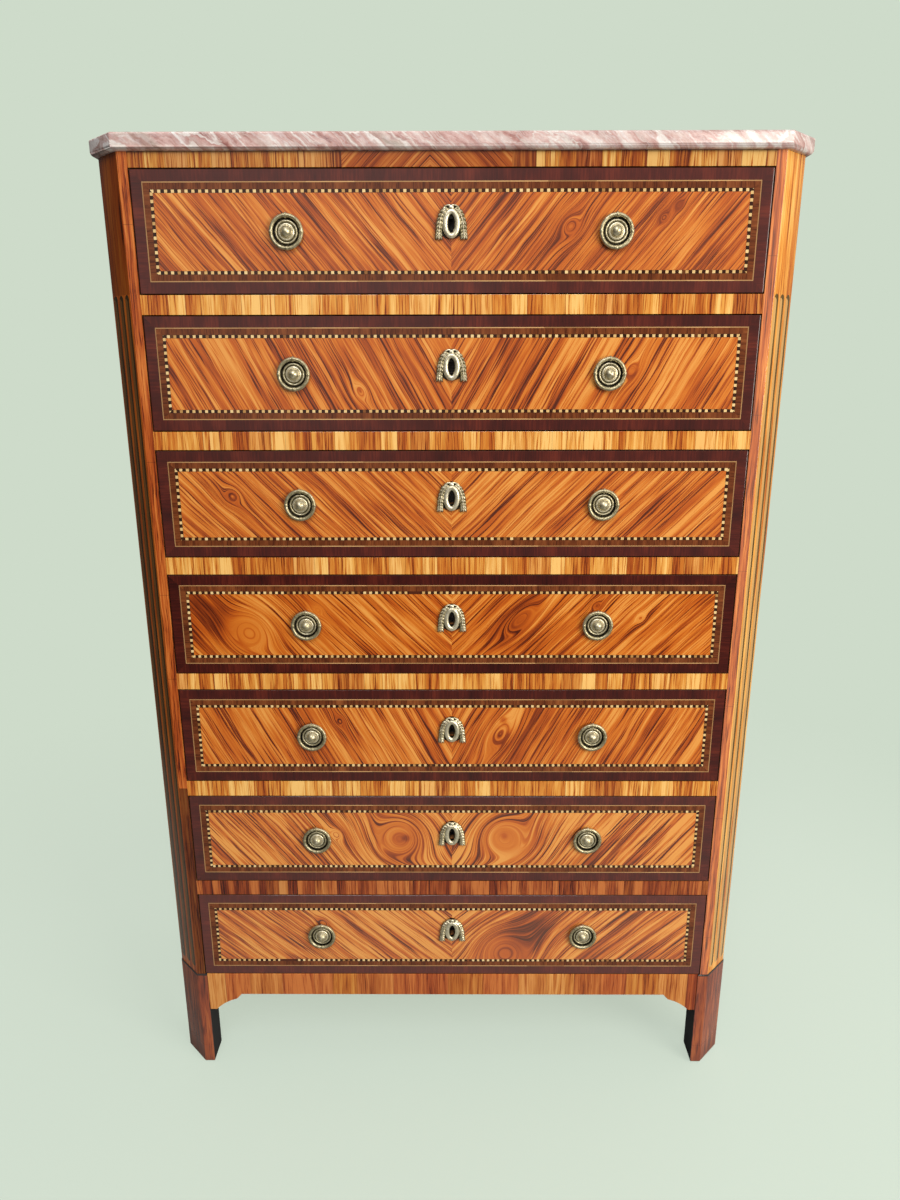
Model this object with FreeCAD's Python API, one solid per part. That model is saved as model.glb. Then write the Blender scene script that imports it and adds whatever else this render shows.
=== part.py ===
"""Semainier: a tall chest of seven equal drawers with canted front corners and a marble top.

Millimetres, +Z up, front towards -Y. The origin lies on the floor, under the middle of the whole chest.
Every wooden member, board, fitting and fastener is its own closed solid. Each parts/NODE.step is one node.
"""
import FreeCAD
import Part
import math
import os

from FreeCAD import Vector

# ---- carcass -------------------------------------------------------------------------------------
drawer_count = 7
opening_width = 800.0        # clear width between the front posts
opening_height = 148.4       # clear height of one drawer opening
rail_height = 24.3           # front rail between two openings
base_height = 174.2          # floor to the lowest opening, also the top of the feet
apron_height = 39.7          # lowest opening down to the straight lower edge of the apron
frieze_height = 18.4         # rail between the top opening and the marble
carcass_depth = 390.0
stile_face = 12.4            # flat of a front post beside the drawers
cant_width = 36.0            # leg of the 45 degree cant on the front corners
frame_depth = 42.0           # depth of the front posts and of the rails
side_thickness = 18.0
rear_post_depth = 52.0
back_thickness = 12.0
back_rebate_lip = 8.0        # outer lip of the rear post that hides the edges of the back boards
back_board_count = 5
top_board_thickness = 16.0
bottom_board_thickness = 14.0
foot_proud = 1.0             # how far the feet stand proud of the posts above them
foot_lip = 3.0               # how much further the feet reach inwards than the posts
foot_bevel = 3.0             # round the sole of every foot

# ---- apron ---------------------------------------------------------------------------------------
apron_thickness = 20.0
bracket_drop = 29.4          # from the straight edge down to the toe of a bracket
bracket_step_height = 8.4    # bevelled step where the curve meets the straight edge
bracket_step_run = 7.5
bracket_length = 53.5        # from the foot to the straight edge
bracket_toe = 10.7           # level stretch beside the foot
bracket_hollow = 3.0         # depth of the curve above its chord

# ---- joinery -------------------------------------------------------------------------------------
tenon_length = 16.0
tenon_thickness = 12.0
tenon_setback = 14.0         # front face of the rail to the front of its tenon
tenon_shoulder = 4.0         # above and below the tenon
tenon_clearance = 0.2
apron_tenon_thickness = 7.0
apron_tenon_setback = 8.0
foot_dowel_radius = 7.0
foot_dowel_length = 25.0
foot_dowel_inset = 14.0      # from the inner face of the post to the dowel's axis
foot_dowel_setback = 27.0    # from the front of the frame to the dowel's axis

# ---- marble --------------------------------------------------------------------------------------
marble_thickness = 20.0
marble_overhang = 8.5        # at the front and at both ends
marble_top_round = 2.5
marble_under_round = 6.0

# ---- drawer runners, guides and stops --------------------------------------------------------------
runner_ledge = 25.0          # how far a runner reaches under the drawer
guide_height = 30.0
guide_clearance = 0.5        # between the drawer's side and the guide
stop_width = 30.0
stop_length = 12.0
stop_height = 4.0
stop_offset = 250.0          # centre line of the chest to the middle of a stop
stop_clearance = 0.3         # between a closed drawer front and its stop

# ---- drawers ---------------------------------------------------------------------------------------
front_gap = 1.5              # round each drawer front in its opening
front_thickness = 20.0
drawer_rear_room = 38.0      # rear end of the closed drawers to the back boards
drawer_side_thickness = 12.0
drawer_side_top_gap = 5.0    # under the rail above
drawer_back_thickness = 10.0
drawer_back_drop = 10.0      # back lower than the sides
drawer_bottom_thickness = 8.0
drawer_bottom_lift = 5.0     # lower edge of the sides to the underside of the bottom
seat_clearance = 0.3         # drawer sides above their runners
tail_count = 4               # lapped dovetails at each front corner
tail_length = 14.0
tail_share = 0.5             # width of a tail's root in its pitch
tail_flare = 3.0             # how much wider the end of a tail is than its root

# ---- pulls -----------------------------------------------------------------------------------------
pull_offset = 207.0          # centre line of the chest to the centre of a pull
plate_radius = 19.0
plate_thickness = 1.6
rosette_radius = 15.0
rosette_rim_height = 4.4
rosette_rim_width = 3.2
rosette_dish_height = 2.4
boss_radius = 8.2
boss_shoulder_height = 4.6
pull_projection = 12.0       # crown of the boss in front of the drawer
ring_radius = 19.3           # centre line of the drop ring
ring_tube_radius = 2.6
ring_back_clearance = 0.3
eye_wall = 1.4
eye_width = 4.5
eye_clearance = 0.3
stem_radius = 2.5
nut_width = 11.0
nut_thickness = 4.0

# ---- escutcheon ------------------------------------------------------------------------------------
keyhole_rise = 11.0          # keyhole above the middle of the drawer front
keyhole_round_radius = 4.0
keyhole_slot_width = 5.6
keyhole_height = 19.0
escutcheon_thickness = 2.2
oval_half_width = 11.2
oval_half_height = 17.0
oval_drop = 5.2              # keyhole level down to the middle of the oval
oval_bead_width = 2.6
oval_bead_height = 3.8
garland_half_width = 5.0
garland_half_height = 18.5
garland_offset = 14.2
garland_drop = 3.5           # keyhole level down to the middle of a garland
crest_half_width = 13.0      # leaves between the oval and the bow
crest_half_height = 4.5
crest_rise = 13.0
bow_half_width = 6.0
bow_half_height = 3.6
bow_offset = 5.8
bow_rise = 18.5
bow_tilt = 24.0              # degrees, drooping outwards
knot_radius = 3.6
pin_radius = 0.8
pin_head_radius = 1.5
pin_head_height = 0.8
pin_length = 9.0

# ---- lock ------------------------------------------------------------------------------------------
lock_width = 64.0
lock_height = 80.0
lock_thickness = 9.0
lock_plate_thickness = 1.5
lock_clearance = 0.2
key_chamber_radius = 11.0
bolt_width = 16.0
bolt_thickness = 4.0
bolt_length = 30.0
bolt_clearance = 0.25
bolt_throw = 8.0
bolt_mortise_clearance = 1.0
screw_radius = 1.5
screw_head_radius = 3.0
screw_head_height = 1.0
screw_length = 14.0
screw_edge = 7.0             # from the edges of the lock to its screws

# ---- derived ---------------------------------------------------------------------------------------
half_opening = opening_width / 2
apron_half = half_opening - foot_lip
post_width = stile_face + cant_width
half_width = half_opening + post_width
side_inner = half_width - side_thickness
front_reach = max(pull_projection, marble_overhang)
front_y = -(carcass_depth - front_reach) / 2
back_y = front_y + carcass_depth
drawer_depth = carcass_depth - back_thickness - drawer_rear_room
apron_clearance = base_height - apron_height   # floor to the apron
frame_back = front_y + frame_depth
board_y = back_y - back_thickness
rear_post_y = back_y - rear_post_depth
back_board_half = half_width - back_rebate_lip
pitch = opening_height + rail_height
top_opening = base_height + drawer_count * opening_height + (drawer_count - 1) * rail_height
carcass_top = top_opening + frieze_height
front_back_y = front_y + front_thickness
ring_plane = plate_thickness + ring_back_clearance + ring_tube_radius
mid_bolt_y = front_back_y - lock_thickness / 2
cant_growth = 2 - math.sqrt(2)   # a cant offset outwards by d gains this times d in its leg
same = 0.01                      # two places closer than this are one


def box(x0, x1, y0, y1, z0, z1):
    """Box between two corners."""
    return Part.makeBox(x1 - x0, y1 - y0, z1 - z0, Vector(x0, y0, z0))


def prism(points, z0, z1):
    """Straight column on an outline in plan."""
    corners = [Vector(x, y, z0) for x, y in points]
    face = Part.Face(Part.makePolygon(corners + corners[:1]))
    return face.extrude(Vector(0, 0, z1 - z0))


def rod(radius, x, z, y0, y1):
    """Cylinder along Y."""
    return Part.makeCylinder(radius, y1 - y0, Vector(x, y0, z), Vector(0, 1, 0))


def oval(half_width_x, half_height_z, x, z, y0, y1, tilt=0.0):
    """Elliptical slab along Y; tilt in degrees turns its top towards +X."""
    major = max(half_width_x, half_height_z)
    minor = min(half_width_x, half_height_z)
    curve = Part.Ellipse(Vector(0, 0, 0), major, minor)
    slab = Part.Face(Part.Wire(curve.toShape())).extrude(Vector(0, 0, y1 - y0))
    if half_height_z > half_width_x:
        slab.rotate(Vector(0, 0, 0), Vector(0, 0, 1), 90)
    slab.rotate(Vector(0, 0, 0), Vector(0, 0, 1), tilt)
    slab.rotate(Vector(0, 0, 0), Vector(1, 0, 0), -90)
    slab.translate(Vector(x, y0, z))
    return slab


def mirrored(shape):
    """The same piece on the other side of the chest."""
    return shape.mirror(Vector(0, 0, 0), Vector(1, 0, 0))


def fused(shapes):
    """One solid from pieces that overlap or touch."""
    return shapes[0].multiFuse(shapes[1:]).removeSplitter()


def save(name, *solids):
    """One node: its solids go to parts/NAME.step."""
    shape = solids[0] if len(solids) == 1 else Part.makeCompound(list(solids))
    shape.exportStep(os.path.join("parts", name + ".step"))


def opening_floor(number):
    """Height of the lower edge of an opening; number 1 is the top drawer."""
    return base_height + (drawer_count - number) * pitch


# ---- carcass ---------------------------------------------------------------------------------------
def corner_plan(outset, inner):
    """Plan of a right front corner member from x = inner, its three show faces moved out by outset."""
    outer = half_width + outset
    front = front_y - outset
    cant = cant_width + cant_growth * outset
    return [
        (inner, front),
        (outer - cant, front),
        (outer, front + cant),
        (outer, frame_back),
        (inner, frame_back),
    ]


def tenon(shoulder, front, thickness, z0, z1, clearance):
    """Right-hand tenon from x = shoulder, y = front on a rail from z0 to z1, grown by clearance."""
    return box(
        shoulder, shoulder + tenon_length + clearance,
        front - clearance, front + thickness + clearance,
        z0 + tenon_shoulder - clearance, z1 - tenon_shoulder + clearance,
    )


def rail_tenon(z0, z1, clearance=0.0):
    """Right-hand tenon of a front rail, or its mortise when a clearance is given."""
    return tenon(half_opening, front_y + tenon_setback, tenon_thickness, z0, z1, clearance)


def apron_tenon(clearance=0.0):
    """Right-hand tenon of the apron, or its mortise when a clearance is given."""
    front = front_y + apron_tenon_setback
    return tenon(apron_half, front, apron_tenon_thickness, apron_clearance, base_height, clearance)


def rail_levels():
    """Lower and upper edge of each rail that is tenoned into the posts."""
    levels = []
    for number in range(1, drawer_count):
        top = opening_floor(number)
        levels.append((top - rail_height, top))
    return levels


def bolt_mortise(z):
    """Slot in the underside of a rail at height z that receives a lock bolt."""
    half = bolt_width / 2 + bolt_mortise_clearance
    reach = bolt_thickness / 2 + bolt_mortise_clearance
    depth = bolt_throw - front_gap + bolt_mortise_clearance
    return box(-half, half, mid_bolt_y - reach, mid_bolt_y + reach, z, z + depth)


def make_rail(z0, z1):
    """Front rail with a tenon at each end and the bolt mortise of the drawer below it."""
    bar = box(-half_opening, half_opening, front_y, frame_back, z0, z1)
    end = rail_tenon(z0, z1)
    return fused([bar, end, mirrored(end)]).cut(bolt_mortise(z0))


def make_bottom_rail():
    """Plain rail behind the apron, carrying the stops of the lowest drawer."""
    z0 = base_height - rail_height
    return box(-apron_half, apron_half, front_y + apron_thickness, frame_back, z0, base_height)


def foot_dowel(extra=0.0):
    """Dowel on top of the right foot, or its socket when extra is a clearance."""
    centre = Vector(half_opening + foot_dowel_inset, front_y + foot_dowel_setback, base_height)
    return Part.makeCylinder(foot_dowel_radius + extra, foot_dowel_length + extra, centre)


def make_front_post():
    """Right front post with its mortises and the socket for the foot's dowel."""
    post = prism(corner_plan(0.0, half_opening), base_height, carcass_top)
    cuts = [rail_tenon(z0, z1, tenon_clearance) for z0, z1 in rail_levels()]
    cuts.append(rail_tenon(top_opening, carcass_top, tenon_clearance))
    cuts.append(foot_dowel(tenon_clearance))
    return post.cut(Part.makeCompound(cuts))


def bevelled(leg):
    """A leg with a bevel round its sole."""
    sole = [edge for edge in leg.Edges if edge.BoundBox.ZMax < foot_bevel / 2]
    return leg.makeChamfer(foot_bevel, sole)


def make_front_foot():
    """Right front foot, slightly proud of the post, with the dowel that carries the post."""
    foot = bevelled(prism(corner_plan(foot_proud, apron_half), 0.0, base_height))
    foot = fused([foot, foot_dowel()])
    return foot.cut(apron_tenon(tenon_clearance))


def make_rear_post():
    """Right rear post and leg in one, rebated for the back boards."""
    plan = [
        (half_opening, rear_post_y),
        (half_width, rear_post_y),
        (half_width, back_y),
        (back_board_half, back_y),
        (back_board_half, board_y),
        (half_opening, board_y),
    ]
    return bevelled(prism(plan, 0.0, carcass_top))


def make_side_panel():
    """Right side panel between the posts."""
    return box(side_inner, half_width, frame_back, rear_post_y, apron_clearance, carcass_top)


def bracket_profile():
    """Lower edge of the apron from its straight run to the right foot, as edges in the front plane."""
    toe_z = apron_clearance - bracket_drop
    start = apron_half - bracket_length
    step = Vector(start + bracket_step_run, front_y, apron_clearance - bracket_step_height)
    toe = Vector(apron_half - bracket_toe, front_y, toe_z)
    chord = toe - step
    rise = Vector(-chord.z, 0, chord.x).normalize() * bracket_hollow
    middle = (step + toe) * 0.5 + rise
    return [
        Part.LineSegment(Vector(start, front_y, apron_clearance), step).toShape(),
        Part.Arc(step, middle, toe).toShape(),
        Part.LineSegment(toe, Vector(apron_half, front_y, toe_z)).toShape(),
    ]


def make_apron():
    """Apron board with a shaped bracket and a tenon at each end."""
    right = bracket_profile()
    left = [edge.mirror(Vector(0, 0, 0), Vector(1, 0, 0)) for edge in right]
    toe_z = apron_clearance - bracket_drop
    start = apron_half - bracket_length
    corners = [
        Vector(apron_half, front_y, toe_z),
        Vector(apron_half, front_y, base_height),
        Vector(-apron_half, front_y, base_height),
        Vector(-apron_half, front_y, toe_z),
    ]
    sides = [Part.LineSegment(a, b).toShape() for a, b in zip(corners, corners[1:])]
    level = Part.LineSegment(
        Vector(-start, front_y, apron_clearance), Vector(start, front_y, apron_clearance)
    ).toShape()
    outline = Part.Wire(Part.__sortEdges__(right + left + sides + [level]))
    board = Part.Face(outline).extrude(Vector(0, apron_thickness, 0))
    end = apron_tenon()
    return fused([board, end, mirrored(end)])


def corner_notches(front_inner, z0, z1):
    """The room that the four corner members take out of a board, both sides."""
    front = box(front_inner, half_width, front_y, frame_back, z0, z1)
    rear = box(half_opening, half_width, rear_post_y, back_y, z0, z1)
    return Part.makeCompound([front, rear, mirrored(front), mirrored(rear)])


def make_top_board():
    """Board behind the frieze that the marble lies on."""
    z0 = carcass_top - top_board_thickness
    board = box(-side_inner, side_inner, frame_back, board_y, z0, carcass_top)
    return board.cut(corner_notches(half_opening, z0, carcass_top))


def make_bottom_board():
    """Board under the runners of the lowest drawer, closing the carcass."""
    z1 = base_height - rail_height
    z0 = z1 - bottom_board_thickness
    board = box(-side_inner, side_inner, front_y + apron_thickness, board_y, z0, z1)
    return board.cut(corner_notches(apron_half, z0, z1))


def make_back_boards():
    """Upright boards of equal width across the back, edge to edge in the rebate."""
    width = 2 * back_board_half / back_board_count
    edges = [-back_board_half + width * i for i in range(back_board_count + 1)]
    return [
        box(x0, x1, board_y, back_y, apron_clearance, carcass_top)
        for x0, x1 in zip(edges, edges[1:])
    ]


def make_marble():
    """Marble slab that follows the canted corners, with rounded long and canted edges."""
    outer = half_width + marble_overhang
    front = front_y - marble_overhang
    cant = cant_width + cant_growth * marble_overhang
    plan = [
        (-outer, back_y), (-outer, front + cant), (-outer + cant, front),
        (outer - cant, front), (outer, front + cant), (outer, back_y),
    ]
    slab = prism(plan, carcass_top, carcass_top + marble_thickness)

    def rim(z):
        """Edges of the slab that lie at height z, without the back edge."""
        found = []
        for edge in slab.Edges:
            level = abs(edge.BoundBox.ZMin - z) < same and abs(edge.BoundBox.ZMax - z) < same
            if level and edge.CenterOfMass.y < back_y - same:
                found.append(edge)
        return found

    slab = slab.makeFillet(marble_under_round, rim(carcass_top))
    return slab.makeFillet(marble_top_round, rim(carcass_top + marble_thickness))


# ---- what the drawers run on -------------------------------------------------------------------------
def make_runner(number):
    """Right-hand runner of one drawer, level with its rail."""
    z1 = opening_floor(number)
    return box(half_opening - runner_ledge, side_inner, frame_back, rear_post_y, z1 - rail_height, z1)


def make_guide(number):
    """Right-hand guide strip on top of the runner, beside the drawer."""
    z0 = opening_floor(number)
    x0 = half_opening - front_gap + guide_clearance
    return box(x0, side_inner, frame_back, rear_post_y, z0, z0 + guide_height)


def make_stop(number):
    """Right-hand stop block on the rail, behind the closed drawer front."""
    z0 = opening_floor(number)
    y0 = front_back_y + stop_clearance
    half = stop_width / 2
    return box(stop_offset - half, stop_offset + half, y0, y0 + stop_length, z0, z0 + stop_height)


# ---- drawer ------------------------------------------------------------------------------------------
def tails(z0, z1):
    """Dovetails at the front end of the right drawer side, between heights z0 and z1."""
    step = (z1 - z0) / tail_count
    root = step * tail_share
    y_root, y_end = front_back_y, front_back_y - tail_length
    x0 = half_opening - front_gap - drawer_side_thickness
    found = []
    for i in range(tail_count):
        middle = z0 + step * (i + 0.5)
        near, far = root / 2, root / 2 + tail_flare
        corners = [
            Vector(x0, y_root, middle - near), Vector(x0, y_end, middle - far),
            Vector(x0, y_end, middle + far), Vector(x0, y_root, middle + near),
        ]
        face = Part.Face(Part.makePolygon(corners + corners[:1]))
        found.append(face.extrude(Vector(drawer_side_thickness, 0, 0)))
    return found


def keyhole(key_z, y0, y1):
    """Keyhole as a solid along Y: a round with a slot below it, centred at height key_z."""
    centre = key_z + keyhole_height / 2 - keyhole_round_radius
    half = keyhole_slot_width / 2
    slot = box(-half, half, y0, y1, key_z - keyhole_height / 2, centre)
    return fused([rod(keyhole_round_radius, 0, centre, y0, y1), slot])


def pin_places(key_z):
    """Where the escutcheon's pins stand: both garlands and the knot of the bow."""
    return [(-garland_offset, key_z), (garland_offset, key_z), (0.0, key_z + bow_rise)]


def make_pin(x, z):
    """Round-headed pin through the escutcheon."""
    face = front_y - escutcheon_thickness
    shank = rod(pin_radius, x, z, face, face + pin_length)
    return fused([shank, rod(pin_head_radius, x, z, face - pin_head_height, face)])


def screw_places(top_z):
    """Where the lock's four screws stand."""
    x = lock_width / 2 - screw_edge
    low, high = top_z - lock_height + screw_edge, top_z - screw_edge
    return [(sx, z) for sx in (-x, x) for z in (low, high)]


def make_screw(x, z):
    """Lock screw from inside the drawer into its front."""
    shank = rod(screw_radius, x, z, front_back_y - screw_length, front_back_y)
    return fused([shank, rod(screw_head_radius, x, z, front_back_y, front_back_y + screw_head_height)])


def make_drawer_front(z0, z1, side_z0, side_z1):
    """Drawer front with dovetail sockets, lock pocket, keyhole and the holes of its fittings."""
    bottom, top = z0 + front_gap, z1 - front_gap
    half = half_opening - front_gap
    board = box(-half, half, front_y, front_back_y, bottom, top)
    key_z = (z0 + z1) / 2 + keyhole_rise
    pocket_half = lock_width / 2 + lock_clearance
    pocket = box(
        -pocket_half, pocket_half,
        front_back_y - lock_thickness - lock_clearance, front_back_y,
        top - lock_height - lock_clearance, top,
    )
    cuts = [pocket, keyhole(key_z, front_y, front_back_y)]
    for tail in tails(side_z0, side_z1):
        cuts += [tail, mirrored(tail)]
    for x in (-pull_offset, pull_offset):
        cuts.append(rod(stem_radius, x, (z0 + z1) / 2, front_y, front_back_y))
    cuts += [make_pin(x, z) for x, z in pin_places(key_z)]
    cuts += [make_screw(x, z) for x, z in screw_places(top)]
    return board.cut(cuts)


def make_drawer_side(side_z0, side_z1):
    """Right drawer side with its dovetails."""
    outer = half_opening - front_gap
    board = box(
        outer - drawer_side_thickness, outer, front_back_y, front_y + drawer_depth, side_z0, side_z1
    )
    return fused([board] + tails(side_z0, side_z1))


def make_drawer_box(side_z0, side_z1):
    """Both sides, the bottom and the back of one drawer."""
    side = make_drawer_side(side_z0, side_z1)
    inner = half_opening - front_gap - drawer_side_thickness
    rear = front_y + drawer_depth
    floor = side_z0 + drawer_bottom_lift
    bottom = box(-inner, inner, front_back_y, rear, floor, floor + drawer_bottom_thickness)
    back = box(
        -inner, inner, rear - drawer_back_thickness, rear,
        floor + drawer_bottom_thickness, side_z1 - drawer_back_drop,
    )
    return [side, mirrored(side), bottom, back]


def make_lock(top_z, key_z):
    """Lock case with its bolt channel, key chamber, keyhole and screw holes."""
    half = lock_width / 2
    y0 = front_back_y - lock_thickness
    case = box(-half, half, y0, front_back_y, top_z - lock_height, top_z)
    bolt_half = bolt_width / 2 + bolt_clearance
    reach = bolt_thickness / 2 + bolt_clearance
    channel = box(
        -bolt_half, bolt_half, mid_bolt_y - reach, mid_bolt_y + reach,
        top_z - bolt_length - bolt_clearance, top_z,
    )
    chamber = rod(
        key_chamber_radius, 0, key_z, y0 + lock_plate_thickness, front_back_y - lock_plate_thickness
    )
    cuts = [channel, chamber, keyhole(key_z, y0, y0 + lock_plate_thickness)]
    cuts += [make_screw(x, z) for x, z in screw_places(top_z)]
    return case.cut(cuts)


def make_bolt(top_z):
    """Lock bolt, drawn back level with the top edge of the drawer front."""
    half, reach = bolt_width / 2, bolt_thickness / 2
    return box(-half, half, mid_bolt_y - reach, mid_bolt_y + reach, top_z - bolt_length, top_z)


# ---- mounts of gilt brass ------------------------------------------------------------------------------
def rosette_profile():
    """Half section of the rosette, radius against height in front of the drawer, from rim to crown."""
    def at(radius, height):
        return Vector(radius, -height, 0)

    rim_mid = rosette_radius - rosette_rim_width / 2
    rim_in = rosette_radius - rosette_rim_width
    dome_rise = pull_projection - boss_shoulder_height
    dome_radius = (boss_radius ** 2 + dome_rise ** 2) / (2 * dome_rise)
    mid = boss_radius / 2
    mid_height = pull_projection - dome_radius + math.sqrt(dome_radius ** 2 - mid ** 2)
    lines = [
        (at(0, 0), at(rosette_radius, 0)),
        (at(rosette_radius, 0), at(rosette_radius, rosette_dish_height)),
        (at(rim_in, rosette_dish_height), at(boss_radius, rosette_dish_height)),
        (at(boss_radius, rosette_dish_height), at(boss_radius, boss_shoulder_height)),
        (at(0, pull_projection), at(0, 0)),
    ]
    edges = [Part.LineSegment(a, b).toShape() for a, b in lines]
    rim = Part.Arc(
        at(rosette_radius, rosette_dish_height), at(rim_mid, rosette_rim_height),
        at(rim_in, rosette_dish_height),
    )
    dome = Part.Arc(at(boss_radius, boss_shoulder_height), at(mid, mid_height), at(0, pull_projection))
    return Part.Wire(Part.__sortEdges__(edges + [rim.toShape(), dome.toShape()]))


def make_rosette(x, z):
    """Backplate, moulded rosette, ring eye and threaded stem of one pull."""
    turned = Part.Face(rosette_profile()).revolve(Vector(0, 0, 0), Vector(0, 1, 0), 360)
    turned.translate(Vector(x, front_y, z))
    plate = rod(plate_radius, x, z, front_y - plate_thickness, front_y)
    stem = rod(stem_radius, x, z, front_y, front_back_y + nut_thickness)
    eye_centre = Vector(x - eye_width / 2, front_y - ring_plane, z + ring_radius)
    bore = ring_tube_radius + eye_clearance
    eye = Part.makeCylinder(bore + eye_wall, eye_width, eye_centre, Vector(1, 0, 0))
    seat = box(
        x - eye_width / 2, x + eye_width / 2, front_y - ring_plane, front_y,
        z + rosette_radius - rosette_rim_width / 2, z + ring_radius + bore + eye_wall,
    )
    hole = Part.makeCylinder(bore, eye_width, eye_centre, Vector(1, 0, 0))
    eye = fused([eye, seat]).cut(hole)
    return fused([turned, plate, stem, eye])


def make_nut(x, z):
    """Square nut on the stem, inside the drawer."""
    half = nut_width / 2
    y1 = front_back_y + nut_thickness
    return box(x - half, x + half, front_back_y, y1, z - half, z + half).cut(
        rod(stem_radius, x, z, front_back_y, y1)
    )


def make_ring(x, z):
    """Drop ring, hanging through the eye of its rosette."""
    centre = Vector(x, front_y - ring_plane, z)
    return Part.makeTorus(ring_radius, ring_tube_radius, centre, Vector(0, 1, 0))


def make_escutcheon(key_z):
    """Oval keyhole plate under a leafy crest and a tied bow, with a garland down each side."""
    face = front_y - escutcheon_thickness
    rim_y = front_y - oval_bead_height
    oval_z = key_z - oval_drop
    plate = oval(oval_half_width, oval_half_height, 0, oval_z, face, front_y)
    bead = oval(oval_half_width, oval_half_height, 0, oval_z, rim_y, face)
    inside = oval(
        oval_half_width - oval_bead_width, oval_half_height - oval_bead_width, 0, oval_z, rim_y, face
    )
    crest = oval(crest_half_width, crest_half_height, 0, key_z + crest_rise, face, front_y)
    shapes = [plate, bead.cut(inside), crest]
    for side in (-1, 1):
        shapes.append(oval(
            garland_half_width, garland_half_height,
            side * garland_offset, key_z - garland_drop, face, front_y,
        ))
        shapes.append(oval(
            bow_half_width, bow_half_height,
            side * bow_offset, key_z + bow_rise, face, front_y, side * bow_tilt,
        ))
    shapes.append(rod(knot_radius, 0, key_z + bow_rise, face, front_y))
    cuts = [keyhole(key_z, rim_y, front_y)]
    cuts += [make_pin(x, z) for x, z in pin_places(key_z)]
    return fused(shapes).cut(cuts)


def save_drawer(number):
    """All nodes of one drawer."""
    z0 = opening_floor(number)
    z1 = z0 + opening_height
    side_z0, side_z1 = z0 + seat_clearance, z1 - drawer_side_top_gap
    top_z, pull_z = z1 - front_gap, (z0 + z1) / 2
    key_z = pull_z + keyhole_rise
    name = "drawer_%d_" % number
    save(name + "front", make_drawer_front(z0, z1, side_z0, side_z1))
    save(name + "box", *make_drawer_box(side_z0, side_z1))
    fittings = [make_escutcheon(key_z), make_lock(top_z, key_z)]
    for x in (-pull_offset, pull_offset):
        fittings += [make_rosette(x, pull_z), make_nut(x, pull_z)]
    fittings += [make_pin(x, z) for x, z in pin_places(key_z)]
    fittings += [make_screw(x, z) for x, z in screw_places(top_z)]
    save(name + "fittings", *fittings)
    save(name + "bolt", make_bolt(top_z))
    save(name + "ring_left", make_ring(-pull_offset, pull_z))
    save(name + "ring_right", make_ring(pull_offset, pull_z))


def save_pair(name, shape):
    """A right-hand piece and its mirror image as two nodes."""
    save(name + "_right", shape)
    save(name + "_left", mirrored(shape))


def main():
    """Writes every node."""
    os.makedirs("parts", exist_ok=True)
    numbers = range(1, drawer_count + 1)
    save("marble_top", make_marble())
    save("top_board", make_top_board())
    save("bottom_board", make_bottom_board())
    save("back_boards", *make_back_boards())
    save("frieze_rail", make_rail(top_opening, carcass_top))
    save("drawer_rails", *[make_rail(z0, z1) for z0, z1 in rail_levels()], make_bottom_rail())
    save("front_apron", make_apron())
    save_pair("front_post", make_front_post())
    save_pair("front_foot", make_front_foot())
    save_pair("rear_post", make_rear_post())
    save_pair("side_panel", make_side_panel())
    for name, make in (
        ("drawer_runners", make_runner), ("drawer_guides", make_guide), ("drawer_stops", make_stop)
    ):
        right = [make(number) for number in numbers]
        save(name, *right, *[mirrored(piece) for piece in right])
    for number in numbers:
        save_drawer(number)


main()
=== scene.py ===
# %% [markdown]
# # A semainier: seven drawers, marquetry and a marble slab
# This lesson dresses a finished construction model. The frame holds every board, drawer, lock and pull at
# its real size. Here each of them gets its finish, its arrises are eased as a cabinet maker eases them, and
# the gilt brass is modelled in the detail that a plain solid leaves out.
# All lengths are metres unless a name says otherwise. Left and right are those of somebody facing the chest.

import math
from contextlib import contextmanager
from functools import partialmethod

import bmesh
import bpy
from mathutils import Matrix, Vector


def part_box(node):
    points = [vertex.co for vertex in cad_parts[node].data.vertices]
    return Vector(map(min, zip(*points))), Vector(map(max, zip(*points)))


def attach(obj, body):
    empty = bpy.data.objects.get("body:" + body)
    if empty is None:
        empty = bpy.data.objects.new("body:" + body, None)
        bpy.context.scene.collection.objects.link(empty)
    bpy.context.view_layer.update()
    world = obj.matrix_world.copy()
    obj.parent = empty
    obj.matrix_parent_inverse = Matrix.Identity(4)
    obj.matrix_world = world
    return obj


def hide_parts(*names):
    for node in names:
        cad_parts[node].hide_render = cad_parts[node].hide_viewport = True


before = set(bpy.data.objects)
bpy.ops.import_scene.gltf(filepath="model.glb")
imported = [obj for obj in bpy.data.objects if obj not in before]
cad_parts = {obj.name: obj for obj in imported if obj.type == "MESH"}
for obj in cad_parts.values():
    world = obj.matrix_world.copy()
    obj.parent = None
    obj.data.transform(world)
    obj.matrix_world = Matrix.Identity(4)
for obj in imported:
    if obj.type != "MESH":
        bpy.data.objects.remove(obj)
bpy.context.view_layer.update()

# %% [markdown]
# ## Sizes
# A finish that is drawn by formula has to know where the edges of each piece lie. They are read from the
# frame, so a pattern keeps meeting its piece when the frame changes. Marquetry is laid out in millimetres,
# as on the bench, so the shader sizes below are in millimetres too.

# %% Read the sizes that the patterns need
MM = 0.001
DRAWERS = 7
NUMBERS = range(1, DRAWERS + 1)        # number 1 is the top drawer


def limits(node):
    """Lowest and highest corner of a frame node, in millimetres."""
    low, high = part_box(node)
    return low / MM, high / MM


first_low, first_high = limits("drawer_1_front")
post_low, post_high = limits("front_post_right")
panel_low, panel_high = limits("side_panel_right")
foot_low, foot_high = limits("front_foot_right")
apron_low, apron_high = limits("front_apron")
back_low, back_high = limits("back_boards")
frieze_top = limits("frieze_rail")[1].z

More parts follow.
